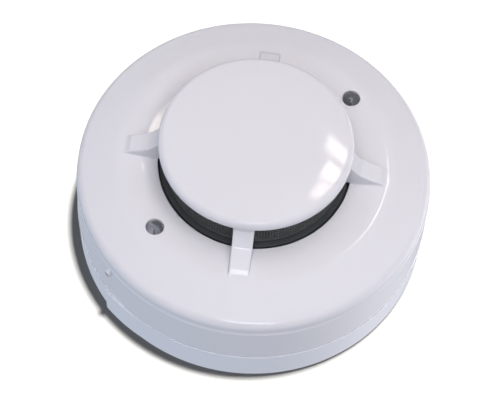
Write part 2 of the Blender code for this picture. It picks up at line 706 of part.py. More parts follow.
def make_sensor_carrier(dark_plastic, pivot):
    bm = bmesh.new()
    turned(bm, [
        (BEAD_HOLE, CARRIER_BOTTOM), (BEAD_COLLAR, CARRIER_BOTTOM), (BEAD_COLLAR, CARRIER_ROOF),
        (CARRIER_WALL_INNER, CARRIER_ROOF), (CARRIER_WALL_INNER, CARRIER_BOTTOM),
        (CARRIER_RADIUS, CARRIER_BOTTOM), (CARRIER_RADIUS, CARRIER_STEP), (PLATEAU_RADIUS, CARRIER_STEP),
        (PLATEAU_RADIUS, CARRIER_TOP), (BEAD_HOLE, CARRIER_TOP),
    ], steps=MIDDLE_STEPS)
    carrier = add_object("sensor_carrier", bm, dark_plastic, parent=pivot)
    bm = bmesh.new()
    for angle in LUG_CENTRES:
        leg = place(angle, CARRIER_LEG_AT)
        rod(bm, CARRIER_LEG_RADIUS, PART_SEAT, CARRIER_BOTTOM + 0.4 * MM, leg, steps=HOLE_STEPS)
    combine(carrier, bm, "UNION")


def make_screen_frame(dark_plastic, pivot):
    foot = CARRIER_TOP + GAP
    bm = bmesh.new()
    turned(bm, [
        (FRAME_INNER, foot), (PLATEAU_RADIUS - 0.2 * MM, foot),
        (PLATEAU_RADIUS - 0.2 * MM, FRAME_FOOT_TOP), (FRAME_OUTER, FRAME_FOOT_TOP),
        (FRAME_OUTER, FRAME_TOP), (FRAME_INNER, FRAME_TOP),
    ], steps=MIDDLE_STEPS)
    frame = add_object("screen_frame", bm, dark_plastic, parent=pivot)
    bm = bmesh.new()
    for number in range(FRAME_WINDOWS):
        low = (FRAME_INNER - 1 * MM, -FRAME_WINDOW_WIDTH / 2, FRAME_FOOT_TOP + FRAME_SILL)
        high = (FRAME_OUTER + 1 * MM, FRAME_WINDOW_WIDTH / 2, FRAME_TOP - FRAME_LINTEL)
        block(bm, low, high, place(360 / FRAME_WINDOWS * (number + 0.5)))
    combine(frame, bm, "DIFFERENCE")


def make_insect_screen(mesh_metal, pivot):
    bm = bmesh.new()
    turned(bm, [
        (SCREEN_INNER, FRAME_FOOT_TOP + GAP), (SCREEN_OUTER, FRAME_FOOT_TOP + GAP),
        (SCREEN_OUTER, SCREEN_TOP), (SCREEN_INNER, SCREEN_TOP),
    ], steps=MIDDLE_STEPS)
    add_object("insect_screen", bm, mesh_metal, parent=pivot)


def make_thermistor(name, coating, pivot, height, matrix):
    """A coated bead on two thin wires that stand up from the board."""
    bm = bmesh.new()
    bead = Matrix.Translation((0, 0, height)) @ Matrix.Diagonal((1, 1.15, 1.3, 1))
    bmesh.ops.create_uvsphere(bm, u_segments=12, v_segments=8, radius=1.2 * MM, matrix=bead)
    thermistor = add_object(name, bm, coating)
    add_leads(thermistor, PART_SEAT, height - 0.4 * MM, (-0.8 * MM, 0.8 * MM), half=0.2 * MM)
    finish_mesh(thermistor)
    thermistor.parent = pivot
    thermistor.matrix_world = matrix


def make_chip(name, resin, pivot, size, legs, pitch, matrix):
    """A moulded chip with legs down its two long sides."""
    length, width, height = size
    lift = 0.3 * MM
    bm = bmesh.new()
    block(bm, (-length / 2, -width / 2, PART_SEAT + lift), (length / 2, width / 2, PART_SEAT + lift + height))
    chip = add_object(name, bm, resin)
    bm = bmesh.new()
    for number in range(legs):
        x = (number - (legs - 1) / 2) * pitch
        for side in (-1, 1):
            inner, outer = side * (width / 2 - 0.3 * MM), side * (width / 2 + 1.0 * MM)
            low = (x - 0.2 * MM, min(inner, outer), PART_SEAT)
            high = (x + 0.2 * MM, max(inner, outer), PART_SEAT + lift + 0.25 * MM)
            block(bm, low, high)
    combine(chip, bm, "UNION")
    finish_mesh(chip)
    chip.parent = pivot
    chip.matrix_world = matrix


def make_filter_capacitor(sleeve, pivot):
    radius, top = 3.15 * MM, PART_SEAT + 7 * MM
    bm = bmesh.new()
    solid_turned(bm, [
        (0, top), (radius * 0.85, top), (radius, top - 0.4 * MM), (radius, PART_SEAT + 1.8 * MM),
        (radius * 0.9, PART_SEAT + 1.4 * MM), (radius, PART_SEAT + 1.0 * MM), (radius, PART_SEAT),
        (0, PART_SEAT),
    ], steps=SMALL_STEPS)
    capacitor = add_object("filter_capacitor", bm, sleeve)
    capacitor.parent = pivot
    capacitor.matrix_world = place(315, LAMP_AT - 0.6 * MM)


def make_surge_varistor(coating, pivot):
    radius, thickness = 3.5 * MM, 2.6 * MM
    centre = PART_SEAT + radius + 0.8 * MM
    lying = Matrix.Translation((0, 0, centre)) @ Matrix.Rotation(math.pi / 2, 4, "Y")
    bm = bmesh.new()
    rod(bm, radius, -thickness / 2, thickness / 2, lying)
    rims = [e for e in bm.edges if abs(e.calc_face_angle() - math.pi / 2) < 0.1]
    bmesh.ops.bevel(bm, geom=rims, offset=0.6 * MM, segments=2, affect="EDGES")
    varistor = add_object("surge_varistor", bm, coating)
    add_leads(varistor, PART_SEAT, centre - 2.0 * MM, (-2.2 * MM, 2.2 * MM))
    finish_mesh(varistor)
    varistor.parent = pivot
    varistor.matrix_world = place(135, LAMP_AT - 0.6 * MM)


def make_thyristor(resin, pivot):
    """A half-round three-leg package."""
    radius, height, lift = 2.3 * MM, 4.6 * MM, 1.6 * MM
    bm = bmesh.new()
    outline = [polar(radius, angle, PART_SEAT + lift) for angle in range(-130, 131, 20)]
    extruded(bm, outline, (0, 0, height))
    thyristor = add_object("thyristor", bm, resin)
    inside = PART_SEAT + lift + 0.5 * MM
    add_leads(thyristor, PART_SEAT, inside, (-LEAD_PITCH / 2, 0, LEAD_PITCH / 2), half=0.2 * MM)
    finish_mesh(thyristor)
    thyristor.parent = pivot
    thyristor.matrix_world = place(292, 33 * MM)


def make_resistor(name, coating, pivot, matrix):
    """An axial resistor: a waisted body lying on the board, with its wires bent down."""
    length, radius = 6.3 * MM, 1.15 * MM
    axis = PART_SEAT + radius + 0.2 * MM
    lying = Matrix.Translation((0, 0, axis)) @ Matrix.Rotation(math.pi / 2, 4, "Y")
    bm = bmesh.new()
    half_body = [(0, 0.5), (0.8, 0.5), (1.0, 0.38), (0.82, 0.2)]  # shares of the radius and the length
    body = half_body + [(r, -z) for r, z in reversed(half_body)]
    solid_turned(bm, [(r * radius, z * length) for r, z in body], steps=HOLE_STEPS)
    bmesh.ops.transform(bm, matrix=lying, verts=list(bm.verts))
    resistor = add_object(name, bm, coating)
    half, reach = 0.25 * MM, 5.1 * MM
    bm = bmesh.new()
    for side in (-1, 1):
        inner, outer = side * (length / 2 - 0.4 * MM), side * reach
        bend = outer - side * 2 * half
        prism(bm, [
            (inner, axis - half), (bend, axis - half), (bend, PART_SEAT),
            (outer, PART_SEAT), (outer, axis + half), (inner, axis + half),
        ], 2 * half)
    combine(resistor, bm, "UNION")
    finish_mesh(resistor)
    resistor.parent = pivot
    resistor.matrix_world = matrix


def build():
    clear_scene()
    white = make_material("white_plastic", (0.80, 0.80, 0.82), 0.32)
    housing_white = make_material("housing_plastic", (0.74, 0.74, 0.75), 0.45)
    black = make_material("black_plastic", (0.02, 0.02, 0.022), 0.5)
    screen_metal = make_material("dark_mesh", (0.05, 0.05, 0.055), 0.45, metallic=0.6)
    resin = make_material("clear_resin", (0.75, 0.75, 0.78), 0.08, transmission=0.9)
    brass = make_material("nickel_brass", (0.72, 0.66, 0.5), 0.3, metallic=1.0)
    steel = make_material("zinc_steel", (0.62, 0.62, 0.64), 0.35, metallic=1.0)
    laminate = make_material("green_laminate", (0.02, 0.16, 0.07), 0.4)
    chip_resin = make_material("chip_resin", (0.025, 0.025, 0.028), 0.5)
    sleeve = make_material("capacitor_sleeve", (0.03, 0.04, 0.12), 0.35)
    blue_coat = make_material("varistor_coating", (0.03, 0.12, 0.4), 0.4)
    bead_coat = make_material("bead_coating", (0.05, 0.05, 0.06), 0.3)
    tan_coat = make_material("resistor_coating", (0.6, 0.45, 0.28), 0.45)

    clamp_pivots = []
    screw_pivots = []
    for number, angle in enumerate(QUARTERS, 1):
        clamp = add_pivot(f"clamp_axis_{number}", polar(SCREW_RADIUS_AT, angle))
        clamp_pivots.append(clamp)
        screw_pivots.append(add_pivot(f"screw_axis_{number}", parent=clamp))
    head = add_pivot("head_axis")

    make_base_plate(white)
    make_contact_strips(brass)
    washer_top = make_clamp_washers(steel, clamp_pivots)
    make_terminal_screws(steel, screw_pivots, washer_top)

    make_outer_cover(white, head)
    make_rear_housing(housing_white, head)
    make_circuit_board(laminate, head)
    foot_bottom = make_blade_contacts(brass, head)
    make_contact_studs(brass, head, foot_bottom)
    make_case_screws(steel, head)
    make_indicator_lamps(resin, head)
    make_sensor_carrier(black, head)
    make_screen_frame(black, head)
    make_insect_screen(screen_metal, head)
    make_thermistor("sensing_thermistor", bead_coat, head, BEAD_HEIGHT, place(0))
    make_thermistor("reference_thermistor", bead_coat, head, PART_SEAT + 3.2 * MM, place(200, 13 * MM))
    make_chip("controller_chip", chip_resin, head, (8.7 * MM, 3.9 * MM, 1.5 * MM), 7, 1.27 * MM,
              place(90, 12 * MM))
    make_chip("bridge_rectifier", chip_resin, head, (8.2 * MM, 6.4 * MM, 3.0 * MM), 2, 5.1 * MM,
              place(270, 17 * MM))
    make_filter_capacitor(sleeve, head)
    make_surge_varistor(blue_coat, head)
    make_thyristor(chip_resin, head)
    make_resistor("resistor_1", tan_coat, head, place(350, 18 * MM))
    make_resistor("resistor_2", tan_coat, head, place(170, 22 * MM))
    bpy.context.view_layer.update()


build()
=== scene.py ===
"""Looks of the heat detector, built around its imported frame. Lengths below are in millimetres unless they say otherwise."""

import math

import bmesh
import bpy
import numpy as np
from mathutils import Matrix, Vector


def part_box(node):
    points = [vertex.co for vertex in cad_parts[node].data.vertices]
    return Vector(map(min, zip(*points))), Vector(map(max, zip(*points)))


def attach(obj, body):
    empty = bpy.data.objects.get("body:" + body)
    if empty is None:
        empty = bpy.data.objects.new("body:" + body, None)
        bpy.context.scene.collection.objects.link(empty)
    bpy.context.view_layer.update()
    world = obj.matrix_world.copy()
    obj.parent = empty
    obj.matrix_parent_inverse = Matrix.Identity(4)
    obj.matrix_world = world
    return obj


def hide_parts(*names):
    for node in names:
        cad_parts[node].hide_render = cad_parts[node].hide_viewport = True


MM = 0.001

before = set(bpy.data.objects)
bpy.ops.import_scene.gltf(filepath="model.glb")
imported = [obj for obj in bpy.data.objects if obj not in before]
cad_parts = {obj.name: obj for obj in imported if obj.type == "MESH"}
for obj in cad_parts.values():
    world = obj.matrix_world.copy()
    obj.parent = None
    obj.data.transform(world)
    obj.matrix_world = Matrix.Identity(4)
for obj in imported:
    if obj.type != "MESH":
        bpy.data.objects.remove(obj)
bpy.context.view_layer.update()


def node_box(name):
    """Lowest and highest corner of a CAD node, in millimetres."""
    low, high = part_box(name)
    return low / MM, high / MM


COVER_LOW, COVER_HIGH = node_box("outer_cover")
BASE_LOW, BASE_HIGH = node_box("base_plate")
FRAME_LOW, FRAME_HIGH = node_box("screen_frame")
SCREEN_LOW, SCREEN_HIGH = node_box("insect_screen")
LAMP_LOW, LAMP_HIGH = node_box("indicator_lamp_1")

# Driving sizes of the cover
COVER_RADIUS = COVER_HIGH.x
COVER_BOTTOM = COVER_LOW.z
CAP_TOP = COVER_HIGH.z
BASE_RADIUS = BASE_HIGH.x
BASE_HEIGHT = COVER_BOTTOM - 0.3
SEAM = BASE_HEIGHT + 0.06  # lower edge of the moulding, just clear of the base
WALL = 2.0
STEP_HEIGHT, STEP_DEPTH, STEP_RISE = 25.4, 0.26, 0.75  # the wall is set back above this height
RING_FALL = 0.36  # slope of the ring outside its highest line
SHOULDER = 3.0
CREST = (37.6, 34.1)  # where the lines of the ring's two sides would meet
RING_SLOPES = ((28.0, 0.20), (32.0, 0.13), (36.0, 0.03), (40.3, -RING_FALL))  # radius, slope of the ring's upper side
OPENING = 27.0
OPENING_EDGE = 32.75
CAP_EDGE = 42.7
CAP_INNER = 25.3
CAP_FLAT = 12.0  # the cap's crown starts to fall at this radius
CAP_FALL = 0.13  # slope of the crown at its edge
CAP_ROLL = 2.1
RIB_HALF = 2.95
RIB_INNER, RIB_OUTER = 25.6, 36.5
RIB_TOP = 43.5  # inside the cap
RIB_NOSE = (35.0, 35.0)
RIB_SLOPES = ((26.6, 1.50), (29.6, 1.02), (29.9, 0.66), (35.0, 0.33))  # radius, fall of a rib's upper side
RIB_NOSE_FALL = 0.75  # slope of the nose
LAMP_HOLE, LENS_RADIUS = 2.45, 2.38
LAMP_AT = math.hypot((LAMP_LOW.x + LAMP_HIGH.x) / 2, (LAMP_LOW.y + LAMP_HIGH.y) / 2)
LAMP_ANGLES = (45, 225)
MARK_ANGLE = 224.5
MARK_BOTTOM, MARK_TOP, MARK_PROUD = 23.0, 25.6, 1.7
BOSS_AT = 43.0
BOSS_ANGLES = (0, 120, 240)


# Outlines: corner points with a rounding radius, turned into fine closed paths.


def rounded(corners, fine=0.11):
    """A closed path through (x, y, radius) corners, each corner replaced by an arc of that radius."""
    path = []
    count = len(corners)
    for index, (x, y, radius) in enumerate(corners):
        here = Vector((x, y))
        before = Vector(corners[index - 1][:2]) - here
        after = Vector(corners[(index + 1) % count][:2]) - here
        if radius <= 0:
            path.append((x, y))
            continue
        before.normalize()
        after.normalize()
        half = before.angle(after) / 2
        centre = here + (before + after).normalized() * (radius / math.sin(half))
        start = here + before * (radius / math.tan(half)) - centre
        end = here + after * (radius / math.tan(half)) - centre
        turn = start.angle_signed(end)
        steps = max(2, math.ceil(abs(turn) * radius / fine))
        for step in range(steps + 1):
            angle = -turn * step / steps
            c, s = math.cos(angle), math.sin(angle)
            path.append((centre.x + start.x * c - start.y * s, centre.y + start.x * s + start.y * c))
    return path


def sloped_line(slopes, height):
    """Corners of a line that follows (radius, slope) pairs inwards, from a height at the largest radius."""
    radii, steepness = zip(*slopes)
    steps = 40
    width = (radii[-1] - radii[0]) / steps
    line = [(radii[-1], height, 0)]
    for step in range(steps):
        height -= width * float(np.interp(radii[-1] - width * (step + 0.5), radii, steepness))
        line.append((radii[-1] - width * (step + 1), height, 0))
    return line


def ring_outline():
    """Section of the dished ring and the side wall, from the lower edge up the outside and back inside."""
    inner = COVER_RADIUS - WALL
    upper = COVER_RADIUS - STEP_DEPTH
    shoulder = CREST[1] - RING_FALL * (upper - CREST[0])
    under = OPENING_EDGE - WALL + 0.9
    outer = RING_SLOPES[-1][0]
    return rounded([
        (COVER_RADIUS, SEAM, 0.22),
        (COVER_RADIUS, STEP_HEIGHT, 0.12),
        (upper, STEP_HEIGHT + STEP_RISE, 0.1),
        (upper, shoulder, SHOULDER),
    ] + sloped_line(RING_SLOPES, CREST[1] - RING_FALL * (outer - CREST[0])) + [
        (OPENING, OPENING_EDGE, 0.35),
        (OPENING, 29.5, 0.2),
        (OPENING + 1.7, 29.5, 0.2),
        (OPENING + 1.7, under, 0.5),
        (CREST[0], CREST[1] - WALL - 0.2, 1.0),
        (inner, shoulder - WALL, 1.2),
        (inner, COVER_BOTTOM + 2.5, 0.3),
        (inner + 0.6, COVER_BOTTOM + 2.5, 0.2),
        (inner + 0.6, SEAM, 0.1),
    ])


def cap_outline():
    """Section of the cap, carried a little past the axis so that its middle has no edge."""
    crown = [(-4, CAP_TOP, 0), (0, CAP_TOP, 0)]
    span = OPENING - CAP_ROLL - CAP_FLAT
    for step in range(13):
        share = step / 12
        crown.append((CAP_FLAT + span * share, CAP_TOP - CAP_FALL * span * share ** 2 / 2, 0))
    corner = CAP_TOP - CAP_FALL * (span / 2 + CAP_ROLL)
    return rounded(crown + [
        (OPENING, corner, CAP_ROLL * 0.98),
        (OPENING, CAP_EDGE, 0.3),
        (CAP_INNER, CAP_EDGE, 0.3),
        (CAP_INNER, CAP_TOP - 2.1, 0.7),
        (-4, CAP_TOP - 2.1, 0),
    ])


def rib_outline():
    """Side view of a rib, from the screen side under the cap, down its steep part to its foot and round nose."""
    under = 32.9
    upper = sloped_line([(radius, -fall) for radius, fall in RIB_SLOPES], RIB_NOSE[1])[::-1]
    return rounded([
        (RIB_INNER, RIB_TOP, 0), (RIB_SLOPES[0][0], RIB_TOP, 0), *upper[:-3], (*RIB_NOSE, 1.0),
        (RIB_OUTER + 0.8, RIB_NOSE[1] - RIB_NOSE_FALL * (RIB_OUTER + 0.8 - RIB_NOSE[0]), 0.2),
        (RIB_OUTER + 0.8, under, 0), (RIB_INNER, under, 0.3),
    ])


# Signed distances, negative inside the plastic.


def outline_distance(path, a, b):
    """Distance from the points (a, b) to a closed path, negative inside it."""
    best = np.full(a.shape, 1e6)
    inside = np.zeros(a.shape, bool)
    for (x0, y0), (x1, y1) in zip(path, path[1:] + path[:1]):
        ex, ey = x1 - x0, y1 - y0
        length = ex * ex + ey * ey
        if length < 1e-12:
            continue
        wx, wy = a - x0, b - y0
        share = np.clip((wx * ex + wy * ey) / length, 0, 1)
        best = np.minimum(best, (wx - ex * share) ** 2 + (wy - ey * share) ** 2)
        if y0 != y1:
            crosses = (y0 <= b) != (y1 <= b)
            inside ^= crosses & (a < x0 + wy * ex / ey)
    return np.where(inside, -1.0, 1.0) * np.sqrt(best)


def join(a, b, fillet):
    """Union of two distances with a fillet where they meet."""
    near = np.clip(fillet - np.abs(a - b), 0, None) / fillet
    return np.minimum(a, b) - near * near * fillet / 4


def meet(a, b, radius):
    """Intersection of two distances with a rounded edge."""
    return -join(-a, -b, radius)


def polar(radius, degrees):
    return radius * math.cos(math.radians(degrees)), radius * math.sin(math.radians(degrees))


def cover_distance(x, y, z, ring, cap):
    """The whole cover: ring, cap and ribs in one moulding, with lamp holes, screw bosses and the mark."""
    shape = ring
    along = np.maximum(np.abs(x), np.abs(y))
    across = np.minimum(np.abs(x), np.abs(y))
    near = (across < 6) & (along > RIB_INNER - 4) & (along < RIB_OUTER + 4) & (z > 29) & (z < RIB_TOP + 4)
    rib = np.full(np.shape(shape), 20.0)
    side = outline_distance(RIB_PATH, along[near], z[near])
    rib[near] = meet(side, across[near] - RIB_HALF + (RIB_TOP - z[near]) * 0.015, 0.5)
    shape = join(shape, rib, 0.45)
    shape = join(shape, cap, 0.45)
    for angle in LAMP_ANGLES:
        cx, cy = polar(LAMP_AT, angle)
        shape = meet(shape, LAMP_HOLE - np.hypot(x - cx, y - cy), 0.4)
    for angle in BOSS_ANGLES:
        cx, cy = polar(BOSS_AT, angle)
        distance = np.hypot(x - cx, y - cy)
        boss = np.maximum(np.maximum(distance - 3.2, COVER_BOTTOM + 4.0 - z), z - 31.0)
        shape = join(shape, boss, 0.4)
        shape = np.maximum(shape, -np.maximum(distance - 1.55, z - 25))
    c, s = polar(1, MARK_ANGLE)
    out, tangent = x * c + y * s - COVER_RADIUS, y * c - x * s
    drop = np.clip((MARK_TOP - z) / (MARK_TOP - MARK_BOTTOM), 0, 1)
    mark = np.maximum(np.maximum(out - MARK_PROUD * drop, -1.0 - out), np.abs(tangent) - 0.35 - 0.45 * drop)
    mark = np.maximum(mark, np.maximum(MARK_BOTTOM - z, z - MARK_TOP))
    ridge = np.maximum(np.maximum(np.abs(out) - 0.12, np.abs(tangent) - 0.25), np.abs(z - 17.5) - 6.0)
    return join(join(shape, mark, 0.2), ridge, 0.1)


def cover_at(points):
    """The cover's distance at points given as an array of x, y, z rows."""
    x, y, z = points.T
    radius = np.hypot(x, y)
    ring = np.full(radius.shape, 20.0)
    outer = radius > OPENING - 4
    ring[outer] = outline_distance(RING_PATH, radius[outer], z[outer])
    cap = np.full(radius.shape, 20.0)
    inner = (radius < OPENING + 4) & (z > CAP_EDGE - 4)
    cap[inner] = outline_distance(CAP_PATH, radius[inner], z[inner])
    return cover_distance(x, y, z, ring, cap)


def slope_of(distance, points, step=0.06):
    """Gradient of a distance at points, by central differences."""
    slope = np.empty_like(points)
    for axis in range(3):
        shift = np.zeros(3)
        shift[axis] = step
        slope[:, axis] = (distance(points + shift) - distance(points - shift)) / (2 * step)
    return slope


# A mesh of the zero surface of a distance, on a grid of radius, angle and height.


def stepped(*stops):
    """Grid lines from (start, step) stops: each stretch runs to the next stop in steps of its own size."""
    lines = []
    for (start, step), (end, _) in zip(stops, stops[1:]):
        count = max(1, round((end - start) / step))
        lines.extend(start + (end - start) * i / count for i in range(count))
    return np.array(lines + [stops[-1][0]])


def cover_angles(scale):
    """Angles round the axis, finer beside each rib and round each lamp."""
    lines = []
    for quarter in range(4):
        start = 90 * quarter
        lamp = (start + 45) in LAMP_ANGLES
        middle = [(start + 39, 0.6), (start + 51, 1.2)] if lamp else []
        if start < MARK_ANGLE < start + 90:
            middle[1:1] = [(MARK_ANGLE - 1.3, 0.18), (MARK_ANGLE + 1.3, 0.6)]
        lines.append(stepped(
            (start, 0.4 * scale), (start + 9, 1.2 * scale), *[(a, s * scale) for a, s in middle],
            (start + 81, 0.4 * scale), (start + 90, 1),
        )[:-1])
    return np.radians(np.concatenate(lines))


def net_surface(values, radii, angles, heights):
    """Surface nets: one point in each grid cell that the surface crosses, and a quad for each crossed grid edge."""
    count = len(angles)
    wrapped = np.concatenate([angles, [angles[0] + 2 * math.pi]])
    solid = values < 0
    around = np.concatenate([solid, solid[:, :1]], axis=1)
    corners = [around[i:len(radii) - 1 + i, j:count + j, k:len(heights) - 1 + k]
               for i in (0, 1) for j in (0, 1) for k in (0, 1)]
    total = sum(c.astype(np.int8) for c in corners)
    cells = np.argwhere((total > 0) & (total < 8))
    index = np.full(total.shape, -1)
    index[tuple(cells.T)] = np.arange(len(cells))

    level = np.concatenate([values, values[:, :1]], axis=1)
    place = np.zeros((len(cells), 3))
    crossings = np.zeros(len(cells))
    lines = (radii, wrapped, heights)
    for axis in range(3):
        others = [n for n in range(3) if n != axis]
        for first in (0, 1):
            for second in (0, 1):
                offset = np.zeros(3, int)
                offset[others[0]], offset[others[1]] = first, second
                low = cells + offset
                high = low.copy()
                high[:, axis] += 1
                a, b = level[tuple(low.T)], level[tuple(high.T)]
                crossed = (a < 0) != (b < 0)
                share = np.where(crossed, a / np.where(crossed, a - b, 1), 0)
                for n in range(3):
                    start = lines[n][low[:, n]]
                    end = lines[n][high[:, n]]
                    place[:, n] += np.where(crossed, start + (end - start) * share, 0)
                crossings += crossed
    place /= crossings[:, None]
    points = np.stack([place[:, 0] * np.cos(place[:, 1]), place[:, 0] * np.sin(place[:, 1]), place[:, 2]], axis=1)

    faces = []
    for axis in range(3):
        lower = [slice(None)] * 3
        upper = [slice(None)] * 3
        lower[axis] = slice(0, values.shape[axis] - 1) if axis != 1 else slice(0, count)
        upper[axis] = slice(1, values.shape[axis]) if axis != 1 else slice(1, count + 1)
        a = around[tuple(lower)] if axis == 1 else solid[tuple(lower)]
        b = around[tuple(upper)] if axis == 1 else solid[tuple(upper)]
        edges = np.argwhere(a != b)
        u, v = (axis + 1) % 3, (axis + 2) % 3
        inside = np.ones(len(edges), bool)
        for n in (u, v):
            if n != 1:
                inside &= (edges[:, n] > 0) & (edges[:, n] < values.shape[n] - 1)
        edges = edges[inside]
        quad = []
        for du, dv in ((0, 0), (1, 0), (1, 1), (0, 1)):
            cell = edges.copy()
            cell[:, u] -= du
            cell[:, v] -= dv
            cell[:, 1] %= count
            quad.append(index[tuple(cell.T)])
        quad = np.stack(quad, axis=1)
        outward = a[tuple(edges.T)]
        quad[~outward] = quad[~outward][:, ::-1]
        faces.append(quad[(quad >= 0).all(axis=1)])
    return points, np.concatenate(faces)


def rim_loops(faces):
    """The open edges of a quad mesh, as closed loops of point numbers."""
    ends = np.concatenate([faces[:, [i, (i + 1) % 4]] for i in range(4)])
    forward = {(a, b) for a, b in ends.tolist()}
    follow = {b: a for a, b in forward if (b, a) not in forward}
    loops = []
    while follow:
        first, here = follow.popitem()
        loop = [first]
        while here != first:
            loop.append(here)
            here = follow.pop(here)
        loops.append(loop)
    return loops


def fill_disc(points, loop, triangles, radii):
    """Closes a round opening with rings of fewer and fewer points, towards one point on the axis."""
    def angle_of(number):
        return math.atan2(points[number][1], points[number][0]) % (2 * math.pi)

    height = float(np.mean([points[n][2] for n in loop]))
    upward = sum(
        (angle_of(b) - angle_of(a) + math.pi) % (2 * math.pi) - math.pi for a, b in zip(loop, loop[1:])
    ) > 0
    outer = sorted(loop, key=angle_of)
    for radius, count in radii:
        inner = []
        for step in range(count):
            angle = 2 * math.pi * step / count
            inner.append(len(points))
            points.append((radius * math.cos(angle), radius * math.sin(angle), height))
        i = j = 0
        while i < len(outer) or j < count:
            next_outer = angle_of(outer[i + 1]) if i + 1 < len(outer) else 7 if i < len(outer) else 99
            next_inner = 2 * math.pi * (j + 1) / count if j < count else 99
            a, b = outer[i % len(outer)], inner[j % count]
            if next_outer <= next_inner:
                i += 1
                tip = outer[i % len(outer)]
            else:
                j += 1
                tip = inner[j % count]
            triangles.append((a, tip, b) if upward else (a, b, tip))
        outer = inner
    centre = len(points)
    points.append((0, 0, height))
    for a, b in zip(outer, outer[1:] + outer[:1]):
        triangles.append((a, b, centre) if upward else (b, a, centre))


def add_mesh(name, points, faces, normals=None):
    """A new piece from points in millimetres."""
    mesh = bpy.data.meshes.new(name)
    mesh.from_pydata([tuple(p) for p in (np.asarray(points) * MM).tolist()], [], faces)
    mesh.validate()
    mesh.shade_smooth()
    if normals is not None:
        mesh.normals_split_custom_set_from_vertices([tuple(n) for n in normals.tolist()])
    obj = bpy.data.objects.new(name, mesh)
    bpy.context.scene.collection.objects.link(obj)
    return obj


RING_PATH = ring_outline()
CAP_PATH = cap_outline()
RIB_PATH = rib_outline()


def make_cover():
    """The cover as one closed skin: its grid part outside the cap's flat, then both flats closed with discs."""
    scale = 1.0
    radii = stepped(
        (18.0, 0.6 * scale), (24.4, 0.22 * scale), (28.4, 0.4 * scale), (38.6, 0.6 * scale),
        (46.6, 0.2 * scale), (51.0, 1),
    )
    heights = stepped(
        (11.2, 0.14 * scale), (12.6, 0.9 * scale), (21.6, 0.35 * scale), (25.2, 0.14 * scale),
        (26.5, 0.3 * scale), (29.0, 0.2 * scale), (35.0, 0.45 * scale), (42.0, 0.2 * scale), (47.3, 1),
    )
    angles = cover_angles(scale)
    r, z = np.meshgrid(radii, heights, indexing="ij")
    ring = outline_distance(RING_PATH, r, z)[:, None, :]
    cap = outline_distance(CAP_PATH, r, z)[:, None, :]
    shape = (len(radii), len(angles), len(heights))
    x = np.broadcast_to(radii[:, None, None] * np.cos(angles)[None, :, None], shape)
    y = np.broadcast_to(radii[:, None, None] * np.sin(angles)[None, :, None], shape)
    zz = np.broadcast_to(heights[None, None, :], shape)
    values = cover_distance(x, y, zz, np.broadcast_to(ring, shape), np.broadcast_to(cap, shape))
    points, quads = net_surface(values, radii, angles, heights)
    rows = points.tolist()
    triangles = []
    for loop in rim_loops(quads):
        fill_disc(rows, loop, triangles, ((15.0, 180), (12.0, 120), (8.0, 72), (4.0, 36), (1.6, 12)))
    points = np.array(rows)
    for _ in range(3):
        slope = slope_of(cover_at, points)
        steep = (slope ** 2).sum(axis=1)
        points -= slope * (np.clip(cover_at(points), -0.4, 0.4) / np.maximum(steep, 0.25))[:, None]
    normals = slope_of(cover_at, points)
    normals /= np.linalg.norm(normals, axis=1)[:, None]
    return add_mesh("cover_moulding", points, quads.tolist() + triangles, normals)


# Shapes in millimetres: each adds a closed body to a bmesh.

STEPS = 240  # facets round the large turned pieces


def turned(bm, outline, steps=STEPS, span=None, matrix=Matrix()):
    """A closed (radius, height) outline turned about Z, all round or between two angles in degrees."""
    start, end = span or (0, 360)
    rings = []
    for step in range(steps + (span is not None)):
        angle = math.radians(start + (end - start) * step / steps)
        c, s = math.cos(angle), math.sin(angle)
        rings.append([bm.verts.new(matrix @ Vector((r * c, r * s, z))) for r, z in outline])
    following = rings[1:] + (rings[:1] if span is None else [])
    faces = []
    for here, there in zip(rings, following):
        for i in range(len(outline)):
            j = (i + 1) % len(outline)
            faces.append(bm.faces.new((here[i], there[i], there[j], here[j])))
    if span is not None:
        faces.append(bm.faces.new(rings[0]))
        faces.append(bm.faces.new(rings[-1][::-1]))
    axis = matrix @ Vector((0, 0, 0))
    up = matrix.to_3x3() @ Vector((0, 0, 1))
    middle = [v for ring in rings for v in ring if (v.co - axis).cross(up).length < 1e-6]
    bmesh.ops.remove_doubles(bm, verts=middle, dist=1e-5)
    bmesh.ops.recalc_face_normals(bm, faces=[f for f in faces if f.is_valid])


def box_shape(bm, low, high, matrix=Matrix()):
    size = Vector(high) - Vector(low)
    centre = (Vector(high) + Vector(low)) / 2
    bmesh.ops.create_cube(bm, size=1, matrix=matrix @ Matrix.Translation(centre) @ Matrix.Diagonal((*size, 1)))


def rod(bm, radius, bottom, top, matrix=Matrix(), steps=32):
    turned(bm, [(0, bottom), (radius, bottom), (radius, top), (0, top)], steps, matrix=matrix)


def pushed(bm, outline, depth):
    """A flat outline of points, pushed along a vector into a closed bar."""
    low = [bm.verts.new(point) for point in outline]
    high = [bm.verts.new(Vector(point) + Vector(depth)) for point in outline]
    faces = [bm.faces.new(low[::-1]), bm.faces.new(high)]
    for i in range(len(low)):
        j = (i + 1) % len(low)
        faces.append(bm.faces.new((low[i], low[j], high[j], high[i])))
    bmesh.ops.recalc_face_normals(bm, faces=faces)


def slot_shape(bm, half_length, radius, bottom, top, matrix, steps=16):
    """An upright slot, long along X."""
    outline = []
    for side in (1, -1):
        for step in range(steps + 1):
            angle = math.pi * (step / steps - 0.5)
            x = side * (half_length + radius * math.cos(angle))
            outline.append(matrix @ Vector((x, side * radius * math.sin(angle), bottom)))
    pushed(bm, outline, (0, 0, top - bottom))


def place(degrees, radius=0.0, height=0.0):
    return Matrix.Rotation(math.radians(degrees), 4, "Z") @ Matrix.Translation((radius, 0, height))


# Pieces


